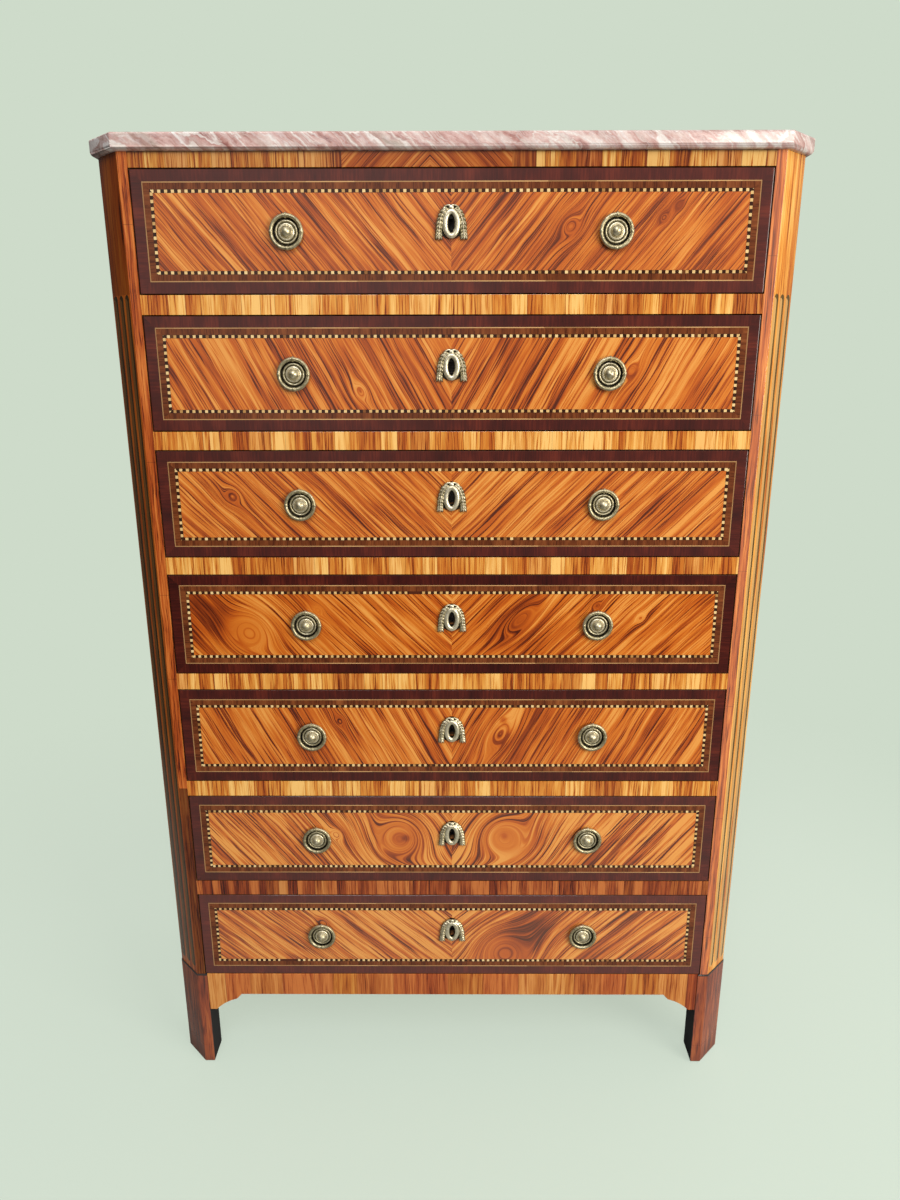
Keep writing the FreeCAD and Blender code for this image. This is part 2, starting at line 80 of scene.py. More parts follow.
front = first_low.y                                      # plane of all drawer fronts and rails
pitch = first_low.z - limits("drawer_2_front")[0].z      # one drawer and one rail
half_opening = post_low.x
half_width = post_high.x
gap = half_opening - first_high.x
half_height = (first_high.z - first_low.z) / 2 + gap
first_middle = (first_high.z + first_low.z) / 2
print("one drawer opening: %.1f by %.1f mm, every %.1f mm" % (2 * half_opening, 2 * half_height, pitch))


def middle(number):
    """Height of the middle of a drawer."""
    return first_middle - (number - 1) * pitch


# %% [markdown]
# ## Camera
# The camera stands a little over a metre in front of the top drawers and looks down, so the sides of the
# chest lean together towards the floor. A wide lens at that place gives the same lines.

# %% Place the camera
LENS = 25.40
CAMERA_PLACE = Vector((0.00323, front * MM - 1.15001, 1.13234))
LOOKS_DOWN = math.radians(15.9586)
LOOKS_LEFT = math.radians(0.2823)
ROLLS = math.radians(-0.1032)

bpy.ops.object.camera_add(location=CAMERA_PLACE)
camera = bpy.context.object
camera.name = "camera"
camera.data.lens = LENS
camera.data.sensor_width = 36.0
camera.data.clip_start = 0.01
turn = Matrix.Rotation(LOOKS_LEFT, 4, "Z") @ Matrix.Rotation(math.pi / 2 - LOOKS_DOWN, 4, "X")
camera.matrix_world = Matrix.Translation(CAMERA_PLACE) @ turn @ Matrix.Rotation(ROLLS, 4, "Z")
bpy.context.scene.camera = camera
print("camera at", [round(v, 3) for v in CAMERA_PLACE])

# %% [markdown]
# ## A short language for finishes
# Marquetry is geometry: bands, lines and squares at measured distances from an edge. Written as Python
# arithmetic, such a layout stays readable. A small class wraps what comes out of a node, and its operators
# add Math nodes.

# %% Wrap what comes out of a node


class Flow:
    """What comes out of a node. Arithmetic on it adds Math nodes."""

    def __init__(self, tree, socket):
        self.tree = tree
        self.socket = socket

    def maths(self, operation, *others):
        return self.tree.node("ShaderNodeMath", {"operation": operation}, self, *others)

    def reflected(self, operation, other):
        """The same with the values the other way round, as in 1 - mask."""
        return self.tree.node("ShaderNodeMath", {"operation": operation}, other, self)

    __add__ = __radd__ = partialmethod(maths, "ADD")
    __mul__ = __rmul__ = partialmethod(maths, "MULTIPLY")
    __sub__ = partialmethod(maths, "SUBTRACT")
    __rsub__ = partialmethod(reflected, "SUBTRACT")
    __truediv__ = partialmethod(maths, "DIVIDE")
    __rtruediv__ = partialmethod(reflected, "DIVIDE")
    __mod__ = partialmethod(maths, "FLOORED_MODULO")
    __lt__ = partialmethod(maths, "LESS_THAN")
    __gt__ = partialmethod(maths, "GREATER_THAN")
    __abs__ = partialmethod(maths, "ABSOLUTE")
    whole = partialmethod(maths, "FLOOR")
    root = partialmethod(maths, "SQRT")
    least = partialmethod(maths, "MINIMUM")
    most = partialmethod(maths, "MAXIMUM")

    def output(self, name):
        """Another output of the same node."""
        return Flow(self.tree, self.socket.node.outputs[name])

    def ramp(self, low, high, start=0.0, end=1.0):
        """start below low, end above high, straight in between."""
        return self.tree.node("ShaderNodeMapRange", None, self, low, high, start, end)

    def gradient(self, *stops):
        """Colour from a value through stops of (place, colour card)."""
        return self.tree.node("ShaderNodeValToRGB", {"stops": stops}, self)

    def under(self, share, above):
        """This colour where share is 0, the one above it where share is 1."""
        return self.tree.node("ShaderNodeMix", {"data_type": "RGBA"}, share, self, above)

    def scaled(self, share):
        """This colour made darker or lighter by a number."""
        grey = self.tree.node("ShaderNodeCombineXYZ", None, share, share, share)
        settings = {"data_type": "RGBA", "blend_type": "MULTIPLY"}
        return self.tree.node("ShaderNodeMix", settings, 1.0, self, grey)

    def worn(self, roughness, relief, depth, metallic=0.0):
        """Ends a material: this colour, its gloss and its relief, depth metres high, go to the surface."""
        bump = self.tree.node("ShaderNodeBump", None, Height=relief, Distance=depth, Strength=1.0)
        self.tree.fill(
            "Principled BSDF", Base_Color=self, Roughness=roughness, Metallic=metallic, Normal=bump
        )
        return self.tree.owner


print("formulas add Math nodes")

# %% [markdown]
# A second class holds the nodes of a material or of the world. Its method node adds any other kind of node.
# Colours are given as six-digit cards, as paint makers do.

# %% Hold the nodes


class Tree:
    """The nodes of a material or of the world."""

    def __init__(self, owner):
        owner.use_nodes = True
        self.owner = owner
        self.nodes = owner.node_tree.nodes

    def put(self, socket, value):
        """Links a flow to a socket, or writes a plain value into it."""
        if isinstance(value, Flow):
            self.owner.node_tree.links.new(value.socket, socket)
        else:
            socket.default_value = value

    def fill(self, shader, **values):
        """Fills inputs of a node that the tree starts with."""
        for label, value in values.items():
            self.put(self.nodes[shader].inputs[label.replace("_", " ")], value)

    def node(self, kind, settings=None, *values, **named):
        """Adds a node: its settings first, then the values or links of its sockets, in order or by name."""
        made = self.nodes.new(kind)
        for key, value in (settings or {}).items():
            if key == "stops":
                fill_ramp(made.color_ramp, value)
            else:
                setattr(made, key, value)
        shown = [socket for socket in made.inputs if socket.enabled]
        for socket, value in zip(shown, values):
            self.put(socket, value)
        for label, value in named.items():
            self.put(next(socket for socket in shown if socket.name == label), value)
        return Flow(self, next(socket for socket in made.outputs if socket.enabled))


def tone(card):
    """Linear colour of a six-digit colour card."""
    parts = [int(card[i:i + 2], 16) / 255 for i in (0, 2, 4)]
    return tuple(p / 12.92 if p < 0.04045 else ((p + 0.055) / 1.055) ** 2.4 for p in parts) + (1.0,)


def fill_ramp(ramp, stops):
    """Sets the stops of a colour ramp."""
    while len(ramp.elements) < len(stops):
        ramp.elements.new(1.0)
    for element, (place, card) in zip(ramp.elements, stops):
        element.position = place
        element.color = tone(card)


print("white is", tone("ffffff"))

# %% [markdown]
# Every finish starts from the place of a point, in millimetres. Clouds, whole-number luck and slices of
# random breadth are all that wood, stone and age are drawn with.

# %% Start a finish and vary it


def surface(name):
    """Starts a material, and gives the place of each point of its surface in millimetres: x, y and z."""
    tree = Tree(bpy.data.materials.new(name))
    place = tree.node("ShaderNodeTexCoord").output("Object")
    scaled = tree.node("ShaderNodeVectorMath", {"operation": "SCALE"}, place, Scale=1 / MM)
    x = tree.node("ShaderNodeSeparateXYZ", None, scaled)
    return x, x.output("Y"), x.output("Z")


def noise(x, y, z, detail=2.0, roughness=0.5):
    """Cloudy value round 0.5 with features about 1 across."""
    where = x.tree.node("ShaderNodeCombineXYZ", None, x, y, z)
    return x.tree.node(
        "ShaderNodeTexNoise", None, Vector=where, Scale=1.0, Detail=detail, Roughness=roughness
    )


def chance(x, y):
    """A number from 0 to 1 for each pair of whole numbers."""
    where = x.tree.node("ShaderNodeCombineXYZ", None, x, y, 0.0)
    return x.tree.node("ShaderNodeTexWhiteNoise", {"noise_dimensions": "2D"}, Vector=where)


def slices(place, feature, randomness):
    """Slices of random breadth, about 1 on average: the colour of each, or the distance to its edge."""
    settings = {"voronoi_dimensions": "1D", "feature": feature}
    return place.tree.node("ShaderNodeTexVoronoi", settings, W=place, Scale=1.0, Randomness=randomness)


print("finishes are written as formulas in millimetres")

# %% [markdown]
# ## Veneers
# Tulipwood and its darker cousins are cut across a striped log: red-brown lines run along the grain on
# orange ground, fine ones between broad ones. Noise that is stretched along the grain draws them. Each
# function below takes the distance along the grain, the distance across it and a seed, so one wood can be
# laid in any direction.

# %% Draw the grain


def stripes(along, across, seed, broad=9.0, fine=1.5, length=260.0):
    """Grain of a striped veneer, 0 dark to 1 light: soft bands, short dark strokes and fine fibres."""
    across = across + (noise(along / 90.0, across / 50.0, seed + 3.0) - 0.5) * 6.0
    bands = noise(along / length, across / broad, seed, 3.0, 0.6) - 0.5
    cloud = noise(along / 110.0, across / 40.0, seed + 11.0) - 0.5
    strokes = noise(along / (length * 0.4), across / (fine * 1.3), seed + 7.0, 2.0, 0.6).ramp(0.53, 0.63)
    fibres = noise(along / 22.0, across / (fine * 0.45), seed + 17.0, 1.0) - 0.5
    return 0.66 + bands * 1.65 + cloud * 0.6 - strokes * (0.46 - bands) + fibres * 0.24


def tulipwood(value, red=None):
    """Colour of tulipwood from its grain; red shifts it towards kingwood."""
    paint = value.gradient(
        (0.06, "4a1706"), (0.28, "85350b"), (0.50, "b05211"), (0.70, "c76f20"), (0.95, "da9444")
    )
    if red is None:
        return paint
    kingwood = value.gradient((0.12, "3a0f08"), (0.36, "702812"), (0.6, "a04a22"), (0.85, "c87238"))
    return paint.under(red, kingwood)


def amaranth(along, across, seed):
    """Dark purple-brown crossbanding."""
    fine = noise(along / 30.0, across / 2.2, seed, 2.0, 0.6) - 0.5
    broad = noise(along / 50.0, across / 30.0, seed + 4.0) - 0.5
    return (0.5 + fine * 0.6 + broad * 0.8).gradient((0.25, "2a0906"), (0.5, "3f110a"), (0.75, "5b2012"))


def boxwood(run, length, upright):
    """Pale line in pieces of one length, each with its own tone."""
    return chance((run / length).whole(), upright).gradient((0.0, "8f6a42"), (1.0, "c39a66"))


def oak(along, across, seed):
    """Plain oak of the hidden work, with its pores."""
    value = noise(along / 140.0, across / 6.0, seed, 3.0, 0.6)
    pores = noise(along / 14.0, across / 0.9, seed + 5.0, 1.0)
    return (value + (pores - 0.5) * 0.5).gradient((0.25, "4a2f18"), (0.5, "6b4826"), (0.75, "8a6238"))


def polish(x, z, seed):
    """Gentle waves of hand-laid polish over hand-laid veneer, as a height from 0 to 1."""
    return noise(x / 70.0, z / 55.0, seed, 2.0, 0.4)


def veneered(paint, grain, behind, hidden, gloss, waves, fine=0.05, depth=0.0002):
    """Ends a veneer: the wood that it hides, its polish, and its grain as a fine relief."""
    return paint.under(behind, hidden).worn(behind * 0.4 + gloss, waves + grain * fine, depth)


print("veneers: tulipwood, kingwood, amaranth, boxwood, oak")

# %% [markdown]
# ## Drawer fronts
# Every front is laid out from its opening inwards: a dark crossbanding, a thin pale line, a narrow band,
# a stringing of pale and black squares, and a field whose two sheets meet in a V. Each band follows the
# nearest edge, which also gives the mitres at the corners. The veneer is a millimetre thick, and what lies
# behind it is oak. The squares and the slant of the field differ from drawer to drawer, as hand work does.
# Round a knot the lines close into rings: near its middle the distance from the middle takes the place of
# the distance across the sheet, and further out the two blend.

# %% Lay out the marquetry of a drawer front
BANDING = 15.6         # opening edge to the pale line
LINE = 16.8
INNER_BAND = 24.5
STRINGING = 28.8
VENEER = 1.0           # thickness
FIELD = {  # drawer: slant, pitch of a pair of squares, breadth of a band, contrast, painted light and shade, painted haze, knots
    1: (50.0, 8.5, 5.6, 1.15, -0.1, 0.045, (
        (150.0, 6.0, 14.0, 0.5, 0.0), (266.0, 16.0, 7.0, 0.5, -0.25), (284.0, 30.0, 6.0, 0.5, -0.25),
    )),
    2: (61.0, 8.4, 8.0, 1.1, -0.02, 0.025, ((236.0, 4.0, 11.0, 0.4, -0.1), (-120.0, -22.0, 10.0, 0.4, 0.08))),
    3: (45.0, 9.0, 5.4, 1.15, 0.0, 0.025, ((-300.0, 12.0, 13.0, 0.6, 0.1), (110.0, 0.0, 50.0, 0.0, 0.06))),
    4: (45.0, 8.3, 6.8, 1.1, 0.0, 0.0, (
        (-290.0, -12.0, 34.0, 0.7, 0.17), (-352.0, 14.0, 44.0, 0.0, -0.34), (-190.0, 22.0, 8.0, 0.5, 0.14),
        (96.0, 6.0, 20.0, 0.18, -0.1), (100.0, 0.0, 60.0, 0.0, -0.1), (268.0, 10.0, 7.0, 0.6, 0.14),
        (205.0, 28.0, 7.0, 0.5, -0.15),
    )),
    5: (62.0, 8.3, 6.8, 1.1, 0.0, 0.015, (
        (-165.0, 24.0, 8.0, 0.5, -0.1), (72.0, 4.0, 19.0, 0.22, -0.05), (76.0, 26.0, 5.0, 0.0, -0.35),
        (110.0, 0.0, 60.0, 0.0, -0.14), (-280.0, 0.0, 70.0, 0.0, 0.05),
    )),
    6: (50.0, 7.9, 7.8, 1.7, 0.06, 0.05, (
        (-80.0, 0.0, 52.0, 1.0, -0.02), (82.0, 2.0, 50.0, 1.0, 0.03), (-70.0, 2.0, 6.0, 0.0, -0.3),
        (80.0, 6.0, 5.0, 0.0, -0.2), (-178.0, 8.0, 8.0, 0.5, 0.14),
    )),
    7: (41.0, 8.0, 6.8, 1.5, 0.03, 0.08, (
        (86.0, -34.0, 50.0, 1.0, -0.12), (122.0, 8.0, 36.0, 0.0, -0.3), (-205.0, 22.0, 9.0, 0.5, -0.15),
        (-90.0, 0.0, 75.0, 0.0, 0.18), (320.0, 0.0, 70.0, 0.0, -0.12),
    )),
}                      # a knot: x, z, radius, roundness of its rings or 0 for a stain without rings, shade
LOST = {4: (1, -60.0, -45.0), 7: (-1, -277.0, -252.0)}     # missing squares: above or below, from x, to x
BROAD_KNOT = 25.0      # radius above which the figure inside a knot is soft
CALMING = 0.72         # share of the contrast that goes there
MEAN_GRAIN = 0.62      # value of the grain that a change of contrast leaves as it is
PALE_SQUARE = 0.45     # share of a pair that is pale
SQUARE_MARGIN = 0.35   # glue line on both sides of the squares


def flow_field(x, z, angle, knots):
    """A field mirrored at the middle: distance along and across it, and the shade and calm of its knots."""
    cos, sin = math.cos(angle), math.sin(angle)
    across = z * cos - abs(x) * sin
    along = abs(x) * cos + z * sin
    bent, shade, calm = across, 0.0, 0.0
    for knot_x, knot_z, radius, roundness, tint in knots:
        same_side = (x > 0.0) if knot_x > 0 else (x < 0.0)
        a = along - (abs(knot_x) * cos + knot_z * sin)
        middle_line = knot_z * cos - abs(knot_x) * sin
        c = across - middle_line
        square = a * a * (roundness or 1.0) + c * c
        near = same_side * radius ** 4 / (square * square + radius ** 4)
        if roundness:
            rings = (square + (radius * 0.3) ** 2).root() * 0.55 - radius * 0.4
            bent = bent + near * (rings + middle_line - bent)
        if roundness and radius > BROAD_KNOT:
            calm = calm + near * near
        shade = shade + near * tint
    return along, bent, shade, calm


def drawer_face(number):
    """Finish of one drawer front."""
    slant, pair, broad, contrast, tint, painted_haze, knots = FIELD[number]
    seed = number * 13.7
    x, y, height = surface("drawer_%d_marquetry" % number)
    z = height - middle(number)
    inwards_x = half_opening - abs(x)
    inwards_z = half_height - abs(z)
    inwards = inwards_x.least(inwards_z)
    upright = inwards_x < inwards_z
    beside = x + upright * (z - x)

    along, across, shade, calm = flow_field(x, z, math.radians(slant), knots)
    grain = stripes(along, across, (x > 0.0) * 2.3 + seed, broad, broad * 0.21)
    depth = contrast - calm * (contrast * CALMING)
    # tint is painted light and shade for the drawer: darker at the top, as under the slab, lighter at the
    # sixth and seventh
    paint = tulipwood((grain - MEAN_GRAIN) * depth + MEAN_GRAIN + tint + shade)

    place = beside / pair + 100.0
    luck = chance(place.whole(), upright * 3.0 + (z > 0.0) + seed)
    pale = luck.gradient((0.0, "74441f"), (0.06, "a87c44"), (0.3, "cba568"), (0.9, "e0c38a"))
    black = luck.gradient((0.0, "381a0c"), (0.9, "261208"), (0.97, "5c3418"))
    inlaid = (inwards > INNER_BAND + SQUARE_MARGIN) * (inwards < STRINGING - SQUARE_MARGIN)
    squares = black.under((place % 1.0 < PALE_SQUARE) * inlaid, pale)
    if number in LOST:
        above, start, end = LOST[number]
        squares = squares.under((z * above > 0.0) * (x > start) * (x < end), tone("4a200e"))

    cross_grain = stripes(inwards, beside, seed + 31.0, 8.0, 1.3, 60.0)
    inner_band = (cross_grain * 0.5 + 0.2).gradient((0.3, "4a200c"), (0.55, "6b3618"), (0.8, "8c5028"))
    dark_band = amaranth(inwards, beside, seed + 41.0)
    # painted haze: a pale veil over the field and the dark band, standing in for hazy reflections on the
    # polish
    if painted_haze:
        paint = paint.under(painted_haze, tone("cbb09c"))
        dark_band = dark_band.under(painted_haze, tone("c88f88"))
    line = boxwood(beside, 60.0, upright)
    for edge, band in ((STRINGING, squares), (INNER_BAND, inner_band), (LINE, line), (BANDING, dark_band)):
        paint = paint.under(inwards < edge, band)

    behind = y > front + VENEER
    return veneered(paint, grain, behind, oak(x, z + y, seed), 0.13, polish(x, z, seed), 0.012, 0.00022)


faces = {number: drawer_face(number) for number in NUMBERS}
print("drawer faces:", len(faces))

# %% [markdown]
# ## Rails, frieze and apron
# The narrow members are crossbanded: short slips of veneer stand side by side with their grain upright, cut
# from different sheets, so each has its own width and tone. One-dimensional cells give random widths with
# one random number for each. The frieze has a small chevron in its middle.

# %% Lay the crossbanding
CHEVRON_LEFT = -135.0
CHEVRON_RIGHT = 75.0
CHEVRON_MIDDLE = -26.0
SLIP_TONES = ((0.08, "6b2a0c"), (0.30, "a34c18"), (0.50, "c67629"), (0.70, "dc9b45"), (0.92, "efbe6e"))


def slips(x, z, seed, width, red, variety=1.0):
    """Upright slips of tulipwood in random widths: their colour and their grain."""
    place = x / width + seed
    luck = x.tree.node("ShaderNodeSeparateXYZ", None, slices(place, "F1", 0.95).output("Color"))
    other = luck.output("Y")
    grain = stripes(z + luck * 300.0, x, other * 9.0 + seed, 6.0, 1.1, 150.0)
    value = (grain - 0.6) * 0.8 * variety + 0.64 + (luck - 0.5) * 0.54 * variety
    redness = (other * 1.5 - 1.0 + red).ramp(0.0, 1.0)
    paint = value.gradient(*SLIP_TONES).under(redness, tulipwood(value, 0.9))
    seam = 1.0 - (slices(place, "DISTANCE_TO_EDGE", 0.95) * width).ramp(0.1, 0.5)
    return paint.scaled(1.0 - seam * 0.4), grain


def on_front(paint, grain, x, y, z, seed):
    """Ends a veneer that lies on the front plane of the chest."""
    behind = y > front + VENEER
    return veneered(paint, grain, behind, oak(x, z + y, seed), 0.16, polish(x, z, seed + 2.0))


def crossbanded_rails():
    x, y, z = surface("rail_crossbanding")
    rail = ((z - middle(DRAWERS)) / pitch).whole()
    lowest = z < middle(DRAWERS) + pitch
    paint, grain = slips(x, z, rail * 17.3, 22.0 - lowest * 7.0, lowest * 1.7)
    return on_front(paint.scaled(0.94 - lowest * 0.16), grain, x, y, z, 3.0)


def frieze_veneer():
    x, y, z = surface("frieze_veneer")
    paint, grain = slips(x, z, 61.0, 27.0, 0.4, 1.25)
    out = abs(x - CHEVRON_MIDDLE)
    across = (z + out) * math.sqrt(0.5)
    along = (z - out) * math.sqrt(0.5)
    chevron = tulipwood(stripes(along, across, 70.0, 6.0, 1.4), 0.35)
    inside = (x > CHEVRON_LEFT) * (x < CHEVRON_RIGHT)
    # painted shadow: the frieze is darkened along its top 3 mm, where the slab above shades it
    shadow_under_slab = z.ramp(frieze_top - 3.0, frieze_top)
    return on_front(paint.under(inside, chevron).scaled(0.73 - shadow_under_slab * 0.6), grain, x, y, z, 4.0)


def apron_veneer():
    x, y, z = surface("apron_veneer")
    paint, grain = slips(x, z, 83.0, 48.0, 1.25, 0.7)
    edge = apron_low.z + 60.0
    behind = y > front + VENEER
    paint = paint.under(behind, oak(x, z + y, 5.0)).scaled(1.12 - (1.0 - z.ramp(edge, edge + 60.0)) * 0.25)
    return paint.worn(behind * 0.4 + 0.16, polish(x, z, 7.0) + grain * 0.05, 0.0002)


rail_finish = crossbanded_rails()
frieze_finish = frieze_veneer()
apron_finish = apron_veneer()
print("crossbanding on rails, frieze and apron")

# %% [markdown]
# ## Canted corners
# A front post has a narrow flat stile beside the drawers and a broad cant. The cant carries three flutes
# that are only drawn: each is a strip of pale wood with a dark strip beside it and over its arch, as if
# light fell into a hollow from one side. The light falls from the same side on both corners, so the pattern
# isn't mirrored. A flute is a capsule, and its dark part is what a shifted copy of it leaves uncovered.

# %% Inlay the flutes
STILE = 12.4                                # breadth of the flat stile
cant_start = half_opening + STILE
cant_face = (half_width - cant_start) * math.sqrt(2)
FLUTE_START = 3.0
FLUTE_STEP = 16.5
FLUTE_WIDTH = 11.0
FLUTE_SHADE = 4.5
FLUTE_TOP = 1211.0
FOOT_DOWEL = 25.0                           # what the foot hides in the post
FLUTE_LIFT = 11.0                           # top of the foot to the flutes
FLUTE_FOOT = foot_high.z - FOOT_DOWEL + FLUTE_LIFT
FLUTE_TONES_SHADED_AND_LIT = (
    ("4a2f18", "6b4622", "86602f"), ("1d140b", "3a2a14", "6b4c22"),     # left corner, painted as in shade: pale part, dark part
    ("a57842", "bf9457", "d4b072"), ("33240f", "5a4520", "8a6a34"),     # right corner, painted as lit
)
JOINT_PITCH = 210.0                         # average length of a piece of veneer on the stile
COLLAR = 2.8                                # dark line at the top of a foot, where it meets the post: painted shadow under the step


def cant_places(x, y):
    """Distance along the cant from the stile, and depth behind its face, both zero at its front arris."""
    out = abs(x) - cant_start
    back = y - front
    return (out + back) * math.sqrt(0.5), (back - out) * math.sqrt(0.5)


def capsule(beside, z, low, high, radius):
    """1 inside an upright strip with round ends."""
    above = (z - high).most(low - z).most(0.0)
    return (beside * beside + above * above) < radius * radius


def corner_post():
    x, y, z = surface("corner_post_inlay")
    over, depth = cant_places(x, y)
    right = x > 0.0
    beside = cant_face - over + right * (over * 2.0 - cant_face)
    side = right * 5.0
    grain = stripes(z, over + side * 20.0, 90.0, 8.0, 1.3, 240.0)
    # the cant's ground is painted darker on the left corner and lighter on the right, as painted shade and
    # light
    paint = tulipwood(grain * 0.6 + 0.16, 0.15).scaled(1.0 - (z > FLUTE_TOP) * 0.35)
    paint = paint.under(right, (grain * 0.8 + 0.12).gradient(*SLIP_TONES))

    slot = (beside - FLUTE_START + FLUTE_STEP) % FLUTE_STEP - FLUTE_WIDTH / 2
    radius = FLUTE_WIDTH / 2
    low, high = FLUTE_FOOT + radius, FLUTE_TOP - radius
    flute = capsule(slot, z, low, high, radius)
    lit = capsule(slot + FLUTE_SHADE, z + FLUTE_SHADE, low, high, radius) * flute
    fine = noise(z / 60.0, beside / 1.2, 97.0)
    # the left corner's flute tones are painted shade, the right corner's painted light
    shaded_pale, dark, pale, olive = [fine.gradient(*zip((0.25, 0.5, 0.75), cards)) for cards in FLUTE_TONES_SHADED_AND_LIT]
    paint = paint.under(flute, dark.under(right, olive)).under(lit, shaded_pale.under(right, pale))

    joints = slices(z / JOINT_PITCH + side, "DISTANCE_TO_EDGE", 0.9) * JOINT_PITCH
    stile = tulipwood(stripes(z, x, 101.0, 4.0, 1.1, 130.0) * 0.9, 0.6)
    stile = stile.scaled(joints.ramp(0.1, 0.6) * 0.5 + 0.5)
    # painted shade on the left stile beside the two lowest drawers; painted light on the right stile,
    # brighter and veiled pale as a painted sheen
    shaded_low_left = (1.0 - right) * (z < middle(DRAWERS - 1) + pitch / 2)
    stile = stile.scaled(1.0 + right * 0.2 - shaded_low_left * 0.68).under(right * 0.12, tone("d9b9a0"))
    paint = paint.under(over < 0.0, stile)
    paint = paint.under(over > cant_face, tulipwood(stripes(z, y, 105.0, 6.0, 1.3, 200.0), 0.4))

    behind = (depth > VENEER) * (y > front + VENEER) * (abs(x) < half_width - VENEER)
    return veneered(paint, grain, behind, oak(z, x + y, 8.0), 0.15, polish(over, z, 9.0))


def foot_veneer():
    x, y, z = surface("foot_veneer")
    over, depth = cant_places(x, y)
    grain = stripes(z, over + (x > 0.0) * 60.0, 110.0, 7.0, 1.2, 120.0)
    # darker and rougher towards the floor
    near_floor = 1.0 - z.ramp(2.0, 40.0)
    paint = tulipwood(grain * 0.72 + 0.02, 0.85).scaled(0.78 - near_floor * 0.2)
    # near black: on the collar line as a painted shadow, and on every face that doesn't look forwards or
    # outwards
    near_black = noise(z / 70.0, y / 3.0, x / 3.0).gradient((0.3, "080707"), (0.7, "141213"))
    paint = paint.under(z > apron_high.z - COLLAR, near_black).under(0.05, tone("cbb0a8"))
    shown = (depth < 0.0) + (y < foot_low.y + VENEER) + (abs(x) > half_width)
    paint = near_black.under(shown > 0.5, paint)
    relief = grain * 0.1 + noise(x / 12.0, y / 12.0, z / 16.0, 3.0) * 0.6
    return paint.worn(near_floor * 0.2 + 0.24 + (shown < 0.5) * 0.5, relief, 0.0003)


post_finish = corner_post()
foot_finish = foot_veneer()
print("flutes stand from %.0f to %.0f mm" % (FLUTE_FOOT, FLUTE_TOP))

# %% [markdown]
# ## Sides
# Each side is one broad panel between the posts. It repeats the scheme of the drawers on a larger scale: a
# dark frame, a pale line and a field of four matched sheets whose grain runs towards the middle. The rear
# post beside it continues in upright veneer, and its leg below is darker, as the front feet are.

# %% Lay out the side panels and rear posts
FRAME_BAND = 26.0
FRAME_LINE = 27.4


def side_veneer():
    x, y, z = surface("side_panel_veneer")
    centre = (panel_low + panel_high) / 2
    half = (panel_high - panel_low) / 2
    beside = abs(y - centre.y)
    above = abs(z - centre.z)
    inwards_y = half.y - beside
    inwards_z = half.z - above
    inwards = inwards_y.least(inwards_z)
    upright = inwards_y < inwards_z
    run = y + upright * (z - y)
    angle = math.radians(58.0)
    across = beside * math.sin(angle) - above * math.cos(angle)
    along = beside * math.cos(angle) + above * math.sin(angle)
    quarter = (y > centre.y) * 0.7 + (z > centre.z) * 1.1 + (x > 0.0) * 5.0
    grain = stripes(along, across, 120.0 + quarter, 12.0, 1.8, 380.0)
    paint = tulipwood(grain, 0.25).under(inwards < FRAME_LINE, boxwood(run, 80.0, upright))
    paint = paint.under(inwards < FRAME_BAND, amaranth(inwards, run, 130.0))
    behind = abs(x) < half_width - VENEER
    return veneered(paint, grain, behind, oak(z, y, 12.0), 0.17, polish(y, z, 13.0), 0.04, 0.0003)


def rear_post_veneer():
    x, y, z = surface("rear_post_veneer")
    grain = stripes(z, y, 140.0, 8.0, 1.4, 260.0)
    leg = 1.0 - z.ramp(apron_high.z - 6.0, apron_high.z - 2.0)
    paint = tulipwood(grain * 0.85 + 0.05, leg * 0.6 + 0.3).scaled(1.0 - leg * 0.25)
    behind = abs(x) < half_width - VENEER
    paint = paint.under(behind, oak(z, x + y, 15.0))
    return paint.worn(behind * 0.35 + 0.2, polish(y, z, 16.0) + grain * 0.05, 0.0002)


side_finish = side_veneer()
rear_finish = rear_post_veneer()
print("sides veneered from %.0f to %.0f mm" % (panel_low.z, panel_high.z))

# %% [markdown]
# ## Marble
# The slab is a breccia: broken pieces of rose and red stone, healed with white and grey. Clouds of noise
# give the broken stone, and the veins are the places where another, stretched noise passes through its
# middle value. Everything leans the same way, as the beds of the quarry do.

# %% Colour the marble


def from_vein(along, across, seed, detail, roughness=0.5):
    """How far each point is from the nearest vein, 0 on the vein."""
    return abs(noise(along, across, seed, detail, roughness) - 0.5)


